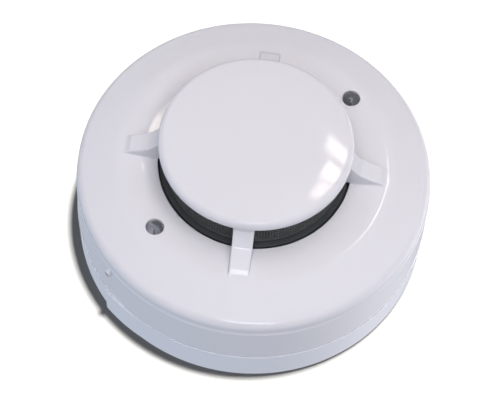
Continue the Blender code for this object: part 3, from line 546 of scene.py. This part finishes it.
def add_piece(name, bm):
    """An object from a bmesh in millimetres, which is freed."""
    bmesh.ops.scale(bm, vec=(MM, MM, MM), verts=list(bm.verts))
    mesh = bpy.data.meshes.new(name)
    bm.to_mesh(mesh)
    bm.free()
    obj = bpy.data.objects.new(name, mesh)
    bpy.context.scene.collection.objects.link(obj)
    return obj


def combined(obj, *steps):
    """Applies Boolean steps, given as (operation, bmesh) pairs, to an object and keeps only the result."""
    tools = []
    for operation, bm in steps:
        tool = add_piece("tool", bm)
        modifier = obj.modifiers.new(operation, "BOOLEAN")
        modifier.operation = operation
        modifier.object = tool
        modifier.solver = "EXACT"
        tools.append(tool)
    keep_evaluated(obj)
    for tool in tools:
        bpy.data.objects.remove(tool, do_unlink=True)
    return obj


def keep_evaluated(obj):
    graph = bpy.context.evaluated_depsgraph_get()
    finished = bpy.data.meshes.new_from_object(obj.evaluated_get(graph))
    obj.modifiers.clear()
    obj.data = finished


def soften(obj, width, segments=2, angle=35):
    """Rounds an object's hard edges and shades it smooth over them."""
    obj.data.shade_smooth()
    if width:
        bevel = obj.modifiers.new("Edges", "BEVEL")
        bevel.width = width * MM
        bevel.segments = segments
        bevel.limit_method = "ANGLE"
        bevel.angle_limit = math.radians(angle)
        bevel.miter_outer = "MITER_ARC"
    else:
        obj.data.set_sharp_from_angle(angle=math.radians(angle))
    smooth = obj.modifiers.new("Flats", "WEIGHTED_NORMAL")
    smooth.keep_sharp = True
    return obj


def dress(obj, body, slot_name, surface, *replaced):
    """Gives a piece its body, its surface in one material slot and the CAD nodes it stands for; slot_name is not
    used.
    """
    obj.data.materials.clear()
    obj.data.materials.append(surface)
    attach(obj, body)
    if replaced:
        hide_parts(*replaced)
    return obj


def dress_node(name, surface, width=0.12):
    """Keeps a CAD node: welded, with rounded edges and its own surface."""
    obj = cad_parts[name]
    weld = obj.modifiers.new("Weld", "WELD")
    weld.merge_threshold = 1e-7
    if obj.data.attributes.get("custom_normal"):
        obj.data.attributes.remove(obj.data.attributes["custom_normal"])
    obj.data.attributes.remove(obj.data.attributes["sharp_edge"])
    soften(obj, width)
    obj.data.materials.clear()
    obj.data.materials.append(surface)
    return obj


# Surfaces


def add_node(tree, kind, settings=None, **inputs):
    made = tree.nodes.new(kind)
    for key, value in (settings or {}).items():
        setattr(made, key, value)
    for key, value in inputs.items():
        socket = made.inputs[key.replace("_", " ")]
        if isinstance(value, bpy.types.NodeSocket):
            tree.links.new(value, socket)
        else:
            socket.default_value = value
    return made


def noise(tree, coordinates, feature, detail=3.0):
    """Noise with features of this size in millimetres, between 0 and 1 with a mean of one half."""
    made = add_node(tree, "ShaderNodeTexNoise", Vector=coordinates, Scale=1 / (feature * MM), Detail=detail)
    return made.outputs["Fac"]


def ranged(tree, value, low, high, start=0.3, end=0.7):
    made = add_node(
        tree, "ShaderNodeMapRange", Value=value, From_Min=start, From_Max=end, To_Min=low, To_Max=high)
    return made.outputs["Result"]


def mixed(tree, share, first, second):
    made = tree.nodes.new("ShaderNodeMix")
    made.data_type = "RGBA"
    for socket, value in zip((made.inputs[0], made.inputs[6], made.inputs[7]), (share, first, second)):
        if isinstance(value, bpy.types.NodeSocket):
            tree.links.new(value, socket)
        else:
            socket.default_value = value
    return made.outputs[2]


def shaded(colour, share):
    return tuple(min(1.0, c * share) for c in colour) + (1.0,)


def surface(name, colour, roughness, metallic=0.0, mottle=0.02, mottle_size=14.0, grain=0.004, grain_size=0.35,
            wear=1.06, wear_radius=0.25, scuff=0.05, scuff_size=5.0, **principled):
    """A procedural finish: uneven colour, uneven gloss, a fine relief, and edges rubbed lighter or darker."""
    made = bpy.data.materials.new(name)
    made.use_nodes = True
    tree = made.node_tree
    shader = tree.nodes["Principled BSDF"]
    coordinates = tree.nodes.new("ShaderNodeTexCoord").outputs["Object"]
    uneven = noise(tree, coordinates, mottle_size)
    tone = mixed(tree, uneven, shaded(colour, 1 - mottle), shaded(colour, 1 + mottle))
    rounded_normal = add_node(tree, "ShaderNodeBevel", {"samples": 4}, Radius=wear_radius * MM).outputs["Normal"]
    geometry = tree.nodes.new("ShaderNodeNewGeometry").outputs["Normal"]
    facing = add_node(tree, "ShaderNodeVectorMath", {"operation": "DOT_PRODUCT"})
    tree.links.new(rounded_normal, facing.inputs[0])
    tree.links.new(geometry, facing.inputs[1])
    edge = ranged(tree, facing.outputs["Value"], 1.0, 0.0, 0.8, 1.0)
    tree.links.new(mixed(tree, edge, tone, shaded(colour, wear)), shader.inputs["Base Color"])
    scuffs = noise(tree, coordinates, scuff_size, 6.0)
    tree.links.new(ranged(tree, scuffs, roughness - scuff, roughness + scuff), shader.inputs["Roughness"])
    relief = add_node(
        tree, "ShaderNodeBump", Height=noise(tree, coordinates, grain_size, 2.0), Distance=grain * MM, Strength=1.0)
    tree.links.new(relief.outputs["Normal"], shader.inputs["Normal"])
    shader.inputs["Metallic"].default_value = metallic
    for key, value in principled.items():
        shader.inputs[key.replace("_", " ")].default_value = value
    return made


def make_surfaces():
    return {
        "cover": surface("moulded_cover", (0.76, 0.75, 0.785), 0.07, mottle=0.006, grain=0.0003, grain_size=1.5,
                         scuff=0.015),
        # The base's white is lighter and bluer than the cover's: painted light, standing in for the light that falls
        # on the base from below.
        "base": surface("moulded_base", (0.82, 0.825, 0.875), 0.14, mottle=0.01, grain=0.0006, grain_size=0.8,
                        scuff=0.04),
        "housing": surface("moulded_housing", (0.68, 0.68, 0.69), 0.42, mottle=0.02, grain=0.006),
        "black": surface("black_plastic", (0.06, 0.064, 0.068), 0.45, mottle=0.1, wear=1.5, grain=0.006),
        "mesh": surface("woven_steel", (0.22, 0.228, 0.22), 0.4, 0.6, mottle=0.2, grain=0.002, grain_size=0.1,
                        wear_radius=0.03),
        "lens": surface("grey_resin", (0.68, 0.70, 0.76), 0.1, mottle=0.03, grain=0.0005, scuff=0.02,
                        Transmission_Weight=0.85, IOR=1.45),
        "brass": surface("nickel_brass", (0.72, 0.66, 0.5), 0.28, 1.0, mottle=0.06, mottle_size=4, scuff=0.1),
        "zinc": surface("zinc_steel", (0.60, 0.61, 0.64), 0.34, 1.0, mottle=0.08, mottle_size=2.5, scuff=0.12),
        "board": surface("green_laminate", (0.015, 0.13, 0.055), 0.35, mottle=0.12, mottle_size=3.0),
        "chip": surface("chip_resin", (0.022, 0.022, 0.024), 0.55, mottle=0.15, mottle_size=1.5, grain=0.01,
                        grain_size=0.12, wear=1.5),
        "sleeve": surface("capacitor_sleeve", (0.02, 0.03, 0.11), 0.3, mottle=0.08, wear=1.4),
        "blue": surface("varistor_coating", (0.02, 0.1, 0.38), 0.35, mottle=0.1, mottle_size=2.0, grain=0.02),
        "bead": surface("bead_coating", (0.03, 0.03, 0.035), 0.25, mottle=0.1, mottle_size=1.0, grain=0.01),
        "tan": surface("resistor_coating", (0.55, 0.4, 0.24), 0.4, mottle=0.06, mottle_size=1.5, grain=0.01),
    }


SURFACES = make_surfaces()


# Base

BLOCK_FROM, BLOCK_TO = 223, 239  # degrees
BLOCK_PROUD = 0.75  # at its left end, from where it fades into the base
FLOOR = 2.0
LIP_RADIUS, LIP_TOP = 48.2, BASE_HIGH.z
LIP_INNER = 47.2
CABLE_HOLE = 14.0
SOCKET_INNER, SOCKET_OUTER, SOCKET_TOP = 43.0, 44.4, 10.5
LUG_CENTRES = (90, 210, 330)
LUG_HALF_SPAN, TWIST, STOP_SPAN = 8, 18, 2.5
LEDGE_INNER, LEDGE_BOTTOM, LEDGE_TOP = 40.2, 7.6, 9.2
QUARTERS = (45, 135, 225, 315)
PAD_INNER, PAD_OUTER, PAD_HALF, PAD_TOP = 19.6, 36.2, 4.8, 5.0
SCREW_AT = 31.0
SCREW_HOLE = 2.0
FIXING_SLOTS = ((0, 27.5), (90, 32.5), (180, 27.5), (270, 32.5))
SLOT_STRAIGHT, SLOT_RADIUS = 2.5, 2.3


def fading_block(bm):
    """A grip on the base's side: a sharp step at one end, fading to nothing at the other."""
    steps = 24
    rings = []
    for step in range(steps + 1):
        angle = math.radians(BLOCK_FROM + (BLOCK_TO - BLOCK_FROM) * step / steps)
        proud = BLOCK_PROUD - (BLOCK_PROUD + 0.08) * step / steps
        section = rounded([
            (BASE_RADIUS - 1.4, 0.02, 0), (BASE_RADIUS - 0.4 + proud, 0.02, 0.3),
            (BASE_RADIUS + proud, BASE_HEIGHT - 0.02, 0.5), (BASE_RADIUS - 1.4, BASE_HEIGHT - 0.02, 0),
        ])
        rings.append([bm.verts.new((r * math.cos(angle), r * math.sin(angle), z)) for r, z in section])
    faces = [bm.faces.new(rings[0]), bm.faces.new(rings[-1][::-1])]
    for here, there in zip(rings, rings[1:]):
        for i in range(len(here)):
            j = (i + 1) % len(here)
            faces.append(bm.faces.new((here[i], there[i], there[j], here[j])))
    bmesh.ops.recalc_face_normals(bm, faces=faces)


def make_base():
    bm = bmesh.new()
    turned(bm, rounded([
        (CABLE_HOLE, 0, 0.4),
        (BASE_RADIUS - 0.4, 0, 0.6),
        (BASE_RADIUS, BASE_HEIGHT, 0.13),
        (LIP_RADIUS, BASE_HEIGHT, 0.15),
        (LIP_RADIUS, LIP_TOP, 0.25),
        (LIP_INNER, LIP_TOP, 0.25),
        (LIP_INNER, FLOOR, 0.7),
        (CABLE_HOLE + 1.5, FLOOR, 0.4),
        (CABLE_HOLE + 1.5, 4.0, 0.3),
        (CABLE_HOLE, 4.0, 0.3),
    ]))
    base = add_piece("base_moulding", bm)
    sunk = FLOOR - 0.4
    walls = bmesh.new()
    turned(walls, rounded([
        (SOCKET_INNER, sunk, 0), (SOCKET_OUTER, sunk, 0),
        (SOCKET_OUTER, SOCKET_TOP, 0.25), (SOCKET_INNER, SOCKET_TOP, 0.25),
    ]))
    for angle in QUARTERS:
        box_shape(walls, (PAD_INNER, -PAD_HALF, sunk), (PAD_OUTER, PAD_HALF, PAD_TOP), place(angle))
    stops = bmesh.new()
    reach = SOCKET_INNER + 0.6
    for centre in LUG_CENTRES:
        locked = centre - LUG_HALF_SPAN - 0.5
        free = centre + TWIST + LUG_HALF_SPAN + 0.5
        ledge = [(LEDGE_INNER, LEDGE_BOTTOM), (reach, LEDGE_BOTTOM), (reach, LEDGE_TOP), (LEDGE_INNER, LEDGE_TOP)]
        turned(stops, ledge, 20, (locked - STOP_SPAN, centre + LUG_HALF_SPAN + 1))
        post = [(LEDGE_INNER + 0.2, sunk), (reach, sunk), (reach, LEDGE_TOP), (LEDGE_INNER + 0.2, LEDGE_TOP)]
        turned(stops, post, 4, (free, free + STOP_SPAN))
    buried = bmesh.new()
    for centre in LUG_CENTRES:
        locked = centre - LUG_HALF_SPAN - 0.5
        post = [(LEDGE_INNER + 0.2, sunk), (reach, sunk), (reach, LEDGE_TOP - 0.5), (LEDGE_INNER + 0.2, LEDGE_TOP - 0.5)]
        turned(buried, post, 4, (locked - STOP_SPAN + 0.4, locked))
    fading_block(buried)
    holes = bmesh.new()
    for angle in QUARTERS:
        rod(holes, SCREW_HOLE, FLOOR - 0.2, PAD_TOP + 1, place(angle, SCREW_AT))
    for angle, distance in FIXING_SLOTS:
        slot_shape(holes, SLOT_STRAIGHT, SLOT_RADIUS, -1, FLOOR + 1, place(angle, distance))
    combined(base, ("UNION", walls), ("UNION", stops), ("UNION", buried), ("DIFFERENCE", holes))
    soften(base, 0)
    dress(base, "base", "base_white", SURFACES["base"], "base_plate")


# Screen, carrier and lamps

SCREEN_MIDDLE = 24.7
WIRE = 0.1  # radius of a wire
WARP_WIRES = 196
WEFT_WIRES = 14
FRAME_OUTER, FRAME_INNER, FRAME_FOOT = 24.2, 22.6, 26.4
FRAME_FOOT_TOP = 32.5
FRAME_WINDOWS = 12
CARRIER_RADIUS, CARRIER_BOTTOM, CARRIER_STEP, CARRIER_TOP = 30.5, 27.8, 29.2, 31.0
PLATEAU = 26.6
BOARD_TOP = 21.1
SEAT = BOARD_TOP + 0.3


def wire_faces(rings, sides, first, closed):
    """Quads of a tube whose cross-sections are numbered one after the other from first."""
    faces = []
    for ring in range(rings if closed else rings - 1):
        here, there = first + ring * sides, first + (ring + 1) % rings * sides
        for side in range(sides):
            after = (side + 1) % sides
            faces.append((here + side, here + after, there + after, there + side))
    if not closed:
        last = first + (rings - 1) * sides
        faces.append(tuple(range(first + sides - 1, first - 1, -1)))
        faces.append(tuple(range(last, last + sides)))
    return faces


def make_screen():
    """Plain-woven wire cloth, bent into a cylinder, with a flat hem along each edge."""
    sides = 6
    around = [2 * math.pi * (n + 0.5) / sides for n in range(sides)]
    low, high = SCREEN_LOW.z + 0.15, SCREEN_HIGH.z - 0.15
    pitch = (high - low) / WEFT_WIRES
    points, faces = [], []
    for warp in range(WARP_WIRES):
        angle = 2 * math.pi * warp / WARP_WIRES
        rings = 4 * WEFT_WIRES + 1
        faces += wire_faces(rings, sides, len(points), False)
        for ring in range(rings):
            wave = WIRE * math.cos(math.pi * (ring / 4 - 0.5 + warp))
            z = low + (high - low) * ring / (rings - 1)
            for turn in around:
                r = SCREEN_MIDDLE + wave + WIRE * math.cos(turn)
                swing = angle - WIRE * math.sin(turn) / SCREEN_MIDDLE
                points.append((r * math.cos(swing), r * math.sin(swing), z))
    for weft in range(WEFT_WIRES):
        rings = 4 * WARP_WIRES
        z = low + pitch * (weft + 0.5)
        faces += wire_faces(rings, sides, len(points), True)
        for ring in range(rings):
            wave = -WIRE * math.cos(math.pi * (ring / 4 + weft))
            angle = 2 * math.pi * ring / rings
            for turn in around:
                r = SCREEN_MIDDLE + wave + WIRE * math.cos(turn)
                points.append((r * math.cos(angle), r * math.sin(angle), z + WIRE * math.sin(turn)))
    screen = add_mesh("screen_weave", points, faces)
    bm = bmesh.new()
    for bottom in (SCREEN_LOW.z, SCREEN_HIGH.z - 0.6):
        turned(bm, rounded([
            (SCREEN_LOW_R, bottom, 0.08), (SCREEN_HIGH_R, bottom, 0.08),
            (SCREEN_HIGH_R, bottom + 0.6, 0.08), (SCREEN_LOW_R, bottom + 0.6, 0.08),
        ]))
    hems = add_piece("screen_hems", bm)
    soften(hems, 0)
    dress(hems, "head", "screen_mesh", SURFACES["mesh"])
    dress(screen, "head", "screen_mesh", SURFACES["mesh"], "insect_screen")


SCREEN_LOW_R, SCREEN_HIGH_R = SCREEN_MIDDLE - 0.22, SCREEN_MIDDLE + 0.22


def make_screen_cage():
    low, high = FRAME_LOW.z, FRAME_HIGH.z
    bm = bmesh.new()
    turned(bm, rounded([
        (FRAME_INNER, low, 0.1), (FRAME_FOOT, low, 0.3), (FRAME_FOOT, FRAME_FOOT_TOP, 0.3),
        (FRAME_OUTER, FRAME_FOOT_TOP, 0.25), (FRAME_OUTER, high, 0.3), (FRAME_INNER, high, 0.3),
    ]))
    cage = add_piece("screen_cage", bm)
    windows = bmesh.new()
    for number in range(FRAME_WINDOWS):
        corners = rounded([(-4.9, FRAME_FOOT_TOP + 0.5, 0.8), (4.9, FRAME_FOOT_TOP + 0.5, 0.8),
                           (4.9, high - 1.6, 0.8), (-4.9, high - 1.6, 0.8)], 0.3)
        turn = place(360 / FRAME_WINDOWS * (number + 0.5))
        outline = [turn @ Vector((FRAME_INNER - 1, y, z)) for y, z in corners]
        pushed(windows, outline, turn.to_3x3() @ Vector((4, 0, 0)))
    combined(cage, ("DIFFERENCE", windows))
    soften(cage, 0.1)
    dress(cage, "head", "black_plastic", SURFACES["black"], "screen_frame")


def make_carrier():
    roof = 29.4
    bm = bmesh.new()
    turned(bm, rounded([
        (4.0, CARRIER_BOTTOM, 0.2), (6.0, CARRIER_BOTTOM, 0.2), (6.0, roof, 0.4), (24.4, roof, 0.4),
        (24.4, CARRIER_BOTTOM, 0.2), (CARRIER_RADIUS, CARRIER_BOTTOM, 0.2),
        (CARRIER_RADIUS, CARRIER_STEP, 0.2), (PLATEAU, CARRIER_STEP, 0.2),
        (PLATEAU, CARRIER_TOP, 0.3), (4.0, CARRIER_TOP, 0.4),
    ]))
    carrier = add_piece("carrier_moulding", bm)
    legs = bmesh.new()
    for angle in LUG_CENTRES:
        rod(legs, 1.6, SEAT, CARRIER_BOTTOM + 0.4, place(angle, 27.2))
    combined(carrier, ("UNION", legs))
    soften(carrier, 0.12)
    dress(carrier, "head", "black_plastic", SURFACES["black"], "sensor_carrier")


def make_lamps():
    shoulder, dome = LAMP_HIGH.z - 2.5, LENS_RADIUS
    flange = 26.6
    for number, angle in enumerate(LAMP_ANGLES, 1):
        spot = place(angle, LAMP_AT)
        curve = [(dome * math.cos(a), shoulder + 2.5 * math.sin(a)) for a in np.radians(range(6, 90, 6))]
        bm = bmesh.new()
        turned(bm, rounded([
            (0, flange, 0), (2.9, flange, 0.15), (2.9, flange + 1, 0.15), (dome, flange + 1, 0.1),
            (dome, shoulder, 0)]) + curve + [(0, LAMP_HIGH.z)], 64, matrix=spot)
        lens = soften(add_piece(f"lamp_lens_{number}", bm), 0)
        dress(lens, "head", "lamp_resin", SURFACES["lens"], f"indicator_lamp_{number}")
        bm = bmesh.new()
        for side in (-1, 1):
            y = side * 1.27
            box_shape(bm, (-0.25, y - 0.25, SEAT), (0.25, y + 0.25, 29.2), spot)
        box_shape(bm, (-0.3, -1.7, 28.8), (0.3, 0.3, 29.8), spot)
        box_shape(bm, (-0.3, 0.75, 28.8), (0.3, 1.7, 30.2), spot)
        cup = [(0, 29.6), (0.55, 29.6), (1.0, 30.8), (0.85, 30.8), (0.5, 30.0), (0, 30.0)]
        turned(bm, cup, 32, matrix=spot @ Matrix.Translation((0, -0.7, 0)))
        box_shape(bm, (-0.16, -0.86, 30.0), (0.16, -0.54, 30.2), spot)
        top = LAMP_HIGH.z - 0.7
        die = spot @ Matrix.Rotation(math.radians(-angle), 4, "Z") @ Matrix.Translation((0, -0.5, 0))
        rod(bm, 0.2, 29.9, top - 0.1, die)
        box_shape(bm, (-0.65, -0.14, top - 0.3), (0.65, 0.14, top), die)
        leads = soften(add_piece(f"lamp_leads_{number}", bm), 0.04)
        dress(leads, "head", "zinc_steel", SURFACES["zinc"])


# Setting: floor, light and camera

CAMERA_TURN = 3.4  # degrees between the picture's right and +X
CAMERA_ROLL = 4.3
CAMERA_HEIGHT_ANGLE = 60.4
CAMERA_DISTANCE = 600.0
AIM_HEIGHT = 20.0
LENS = 151.9
WINDOW_GLOW = 9.5
FLOOR_TONE = (0.262, 0.256, 0.247, 1)  # as the camera sees it
FLOOR_BOUNCE = (0.50, 0.525, 0.59, 1)  # as it lights the object
SKY, SKY_MIRRORED = (0.285, 0.293, 0.318, 1), (0.12, 0.12, 0.125, 1)
SHIFT = (-3.1 / 500, -15.7 / 500)


def direction(azimuth, elevation):
    """Unit vector for an azimuth seen from the camera (0 is right, 90 is away) and an elevation."""
    a, e = math.radians(azimuth + CAMERA_TURN), math.radians(elevation)
    return Vector((math.cos(a) * math.cos(e), math.sin(a) * math.cos(e), math.sin(e)))


def floor_only(name, state):
    """A collection for light linking that names the floor."""
    collection = bpy.data.collections.new(name)
    collection.objects.link(bpy.data.objects["floor"])
    collection.collection_objects[0].light_linking.link_state = state
    return collection


def add_light(name, azimuth, elevation, distance, size, brightness, colour, glossy=True, floor="dark"):
    """A rectangular light that faces the object; brightness is the share of full white it gives a surface.
    The floor is left dark by it, or is the only thing lit by it; it never stands in a light's way."""
    data = bpy.data.lights.new(name, "AREA")
    data.shape = "RECTANGLE"
    data.size, data.size_y = size
    data.energy = brightness * math.pi ** 2 * distance ** 2
    data.color = colour
    light = bpy.data.objects.new(name, data)
    bpy.context.scene.collection.objects.link(light)
    way = direction(azimuth, elevation)
    light.location = way * distance + Vector((0, 0, AIM_HEIGHT * MM))
    light.rotation_mode = "QUATERNION"
    light.rotation_quaternion = way.to_track_quat("Z", "Y")
    light.visible_glossy = glossy
    light.light_linking.receiver_collection = floor_only(name, "EXCLUDE" if floor == "dark" else "INCLUDE")
    light.light_linking.blocker_collection = floor_only(name + "_blockers", "EXCLUDE")


def make_lights():
    warm, cool, neutral = (1.0, 0.96, 0.9), (0.82, 0.90, 1.0), (1.0, 0.985, 1.0)
    add_light("floor_light", 18, 85.0, 1.6, (0.12, 0.12), 4.3, (1, 1, 1), glossy=False, floor="only")
    add_light("key", -50, 76, 1.3, (0.9, 0.9), 0.50, neutral, glossy=False)
    add_light("top", 90, 88, 1.6, (1.2, 1.2), 0.18, (1.0, 0.84, 0.82), glossy=False)
    add_light("front_strip", -88, 44, 1.2, (0.42, 0.25), 0.16, cool)
    panes = ((65, 57.4, 0.42, 0.16, 0.9), (62.5, 61.9, 0.28, 0.17, 1.0), (61.5, 66.0, 0.17, 0.2, 0.7))
    for number, (azimuth, elevation, width, height, glow) in enumerate(panes, 1):
        share = WINDOW_GLOW * glow * width * height / (math.pi * 3.0 ** 2)
        add_light(f"window_{number}", azimuth, elevation, 3.0, (width, height), share, (1.0, 0.93, 0.83))
    add_light("left_fill", 175, 4, 1.2, (0.9, 0.4), 0.095, (0.7, 0.85, 1.0), glossy=False)
    add_light("right_fill", -15, 5, 1.2, (0.6, 0.4), 0.04, warm, glossy=False)
    add_light("left_low", -160, -30, 1.2, (0.6, 0.4), 0.12, (0.3, 0.65, 1.0), glossy=False)
    add_light("right_low", 20, -30, 1.2, (0.6, 0.4), 0.95, (1.0, 0.97, 0.95), glossy=False)


def make_world():
    world = bpy.data.worlds.new("studio")
    bpy.context.scene.world = world
    world.use_nodes = True
    tree = world.node_tree
    background = tree.nodes["Background"]
    path = tree.nodes.new("ShaderNodeLightPath").outputs
    light = mixed(tree, path["Is Glossy Ray"], SKY, SKY_MIRRORED)
    tree.links.new(mixed(tree, path["Is Camera Ray"], light, (1, 1, 1, 1)), background.inputs["Color"])


def make_floor():
    """A pale floor that lights the object evenly from below, and vanishes when the camera is below it."""
    mesh = bpy.data.meshes.new("floor")
    side, level = 3.0, -0.05 * MM
    mesh.from_pydata([(-side, -side, level), (side, -side, level), (side, side, level), (-side, side, level)],
                     [], [(0, 1, 2, 3)])
    floor = bpy.data.objects.new("floor", mesh)
    bpy.context.scene.collection.objects.link(floor)
    made = bpy.data.materials.new("pale_floor")
    made.use_nodes = True
    tree = made.node_tree
    shader = tree.nodes["Principled BSDF"]
    shader.inputs["Base Color"].default_value = FLOOR_TONE
    shader.inputs["Roughness"].default_value = 0.9
    shader.inputs["Specular IOR Level"].default_value = 0.0
    path = tree.nodes.new("ShaderNodeLightPath").outputs
    glow = add_node(tree, "ShaderNodeEmission", Color=FLOOR_BOUNCE, Strength=1.0)
    seen = tree.nodes.new("ShaderNodeMixShader")
    tree.links.new(path["Is Camera Ray"], seen.inputs[0])
    tree.links.new(glow.outputs["Emission"], seen.inputs[1])
    tree.links.new(shader.outputs["BSDF"], seen.inputs[2])
    eye = add_node(
        tree, "ShaderNodeVectorTransform",
        {"vector_type": "POINT", "convert_from": "CAMERA", "convert_to": "WORLD"}, Vector=(0, 0, 0))
    height = add_node(tree, "ShaderNodeSeparateXYZ", Vector=eye.outputs["Vector"]).outputs["Z"]
    below = add_node(tree, "ShaderNodeMath", {"operation": "LESS_THAN"})
    tree.links.new(height, below.inputs[0])
    below.inputs[1].default_value = 0.0
    clear = tree.nodes.new("ShaderNodeBsdfTransparent")
    blend = tree.nodes.new("ShaderNodeMixShader")
    tree.links.new(below.outputs["Value"], blend.inputs[0])
    tree.links.new(seen.outputs["Shader"], blend.inputs[1])
    tree.links.new(clear.outputs["BSDF"], blend.inputs[2])
    tree.links.new(blend.outputs["Shader"], tree.nodes["Material Output"].inputs["Surface"])
    mesh.materials.append(made)


def make_camera():
    a, e, roll = (math.radians(v) for v in (CAMERA_TURN, CAMERA_HEIGHT_ANGLE, CAMERA_ROLL))
    right = Vector((math.cos(a), math.sin(a), 0))
    back = Vector((math.sin(a) * math.cos(e), -math.cos(a) * math.cos(e), math.sin(e)))
    up = back.cross(right)
    data = bpy.data.cameras.new("camera")
    camera = bpy.data.objects.new("camera", data)
    bpy.context.scene.collection.objects.link(camera)
    x_axis = right * math.cos(roll) + up * math.sin(roll)
    y_axis = up * math.cos(roll) - right * math.sin(roll)
    camera.matrix_world = Matrix.Translation(back * CAMERA_DISTANCE * MM + Vector((0, 0, AIM_HEIGHT * MM))) @ Matrix(
        (x_axis, y_axis, back)).transposed().to_4x4()
    data.lens = LENS
    data.sensor_width = 36
    data.shift_x, data.shift_y = SHIFT
    data.clip_start, data.clip_end = 0.01, 20
    bpy.context.scene.camera = camera


def dress_nodes():
    """The CAD nodes that stay as they are."""
    finishes = {
        "rear_housing": ("housing", "housing_white"),
        "circuit_board": ("board", "green_laminate"),
        "sensing_thermistor": ("bead", "bead_coating"),
        "reference_thermistor": ("bead", "bead_coating"),
        "controller_chip": ("chip", "chip_resin"),
        "bridge_rectifier": ("chip", "chip_resin"),
        "thyristor": ("chip", "chip_resin"),
        "filter_capacitor": ("sleeve", "capacitor_sleeve"),
        "surge_varistor": ("blue", "varistor_coating"),
        "resistor_1": ("tan", "resistor_coating"),
        "resistor_2": ("tan", "resistor_coating"),
    }
    for name, (key, slot_name) in finishes.items():
        dress_node(name, SURFACES[key])
    for number in range(1, 5):
        dress_node(f"contact_strip_{number}", SURFACES["brass"])
        dress_node(f"blade_contact_{number}", SURFACES["brass"])
        dress_node(f"contact_stud_{number}", SURFACES["brass"])
        dress_node(f"clamp_washer_{number}", SURFACES["zinc"])
        dress_node(f"terminal_screw_{number}", SURFACES["zinc"])
    for number in range(1, 4):
        dress_node(f"case_screw_{number}", SURFACES["zinc"])


dress(make_cover(), "head", "cover_white", SURFACES["cover"], "outer_cover")
make_base()
make_screen()
make_screen_cage()
make_carrier()
make_lamps()
dress_nodes()
make_world()
make_floor()
make_lights()
make_camera()
bpy.context.scene.view_settings.view_transform = "Standard"
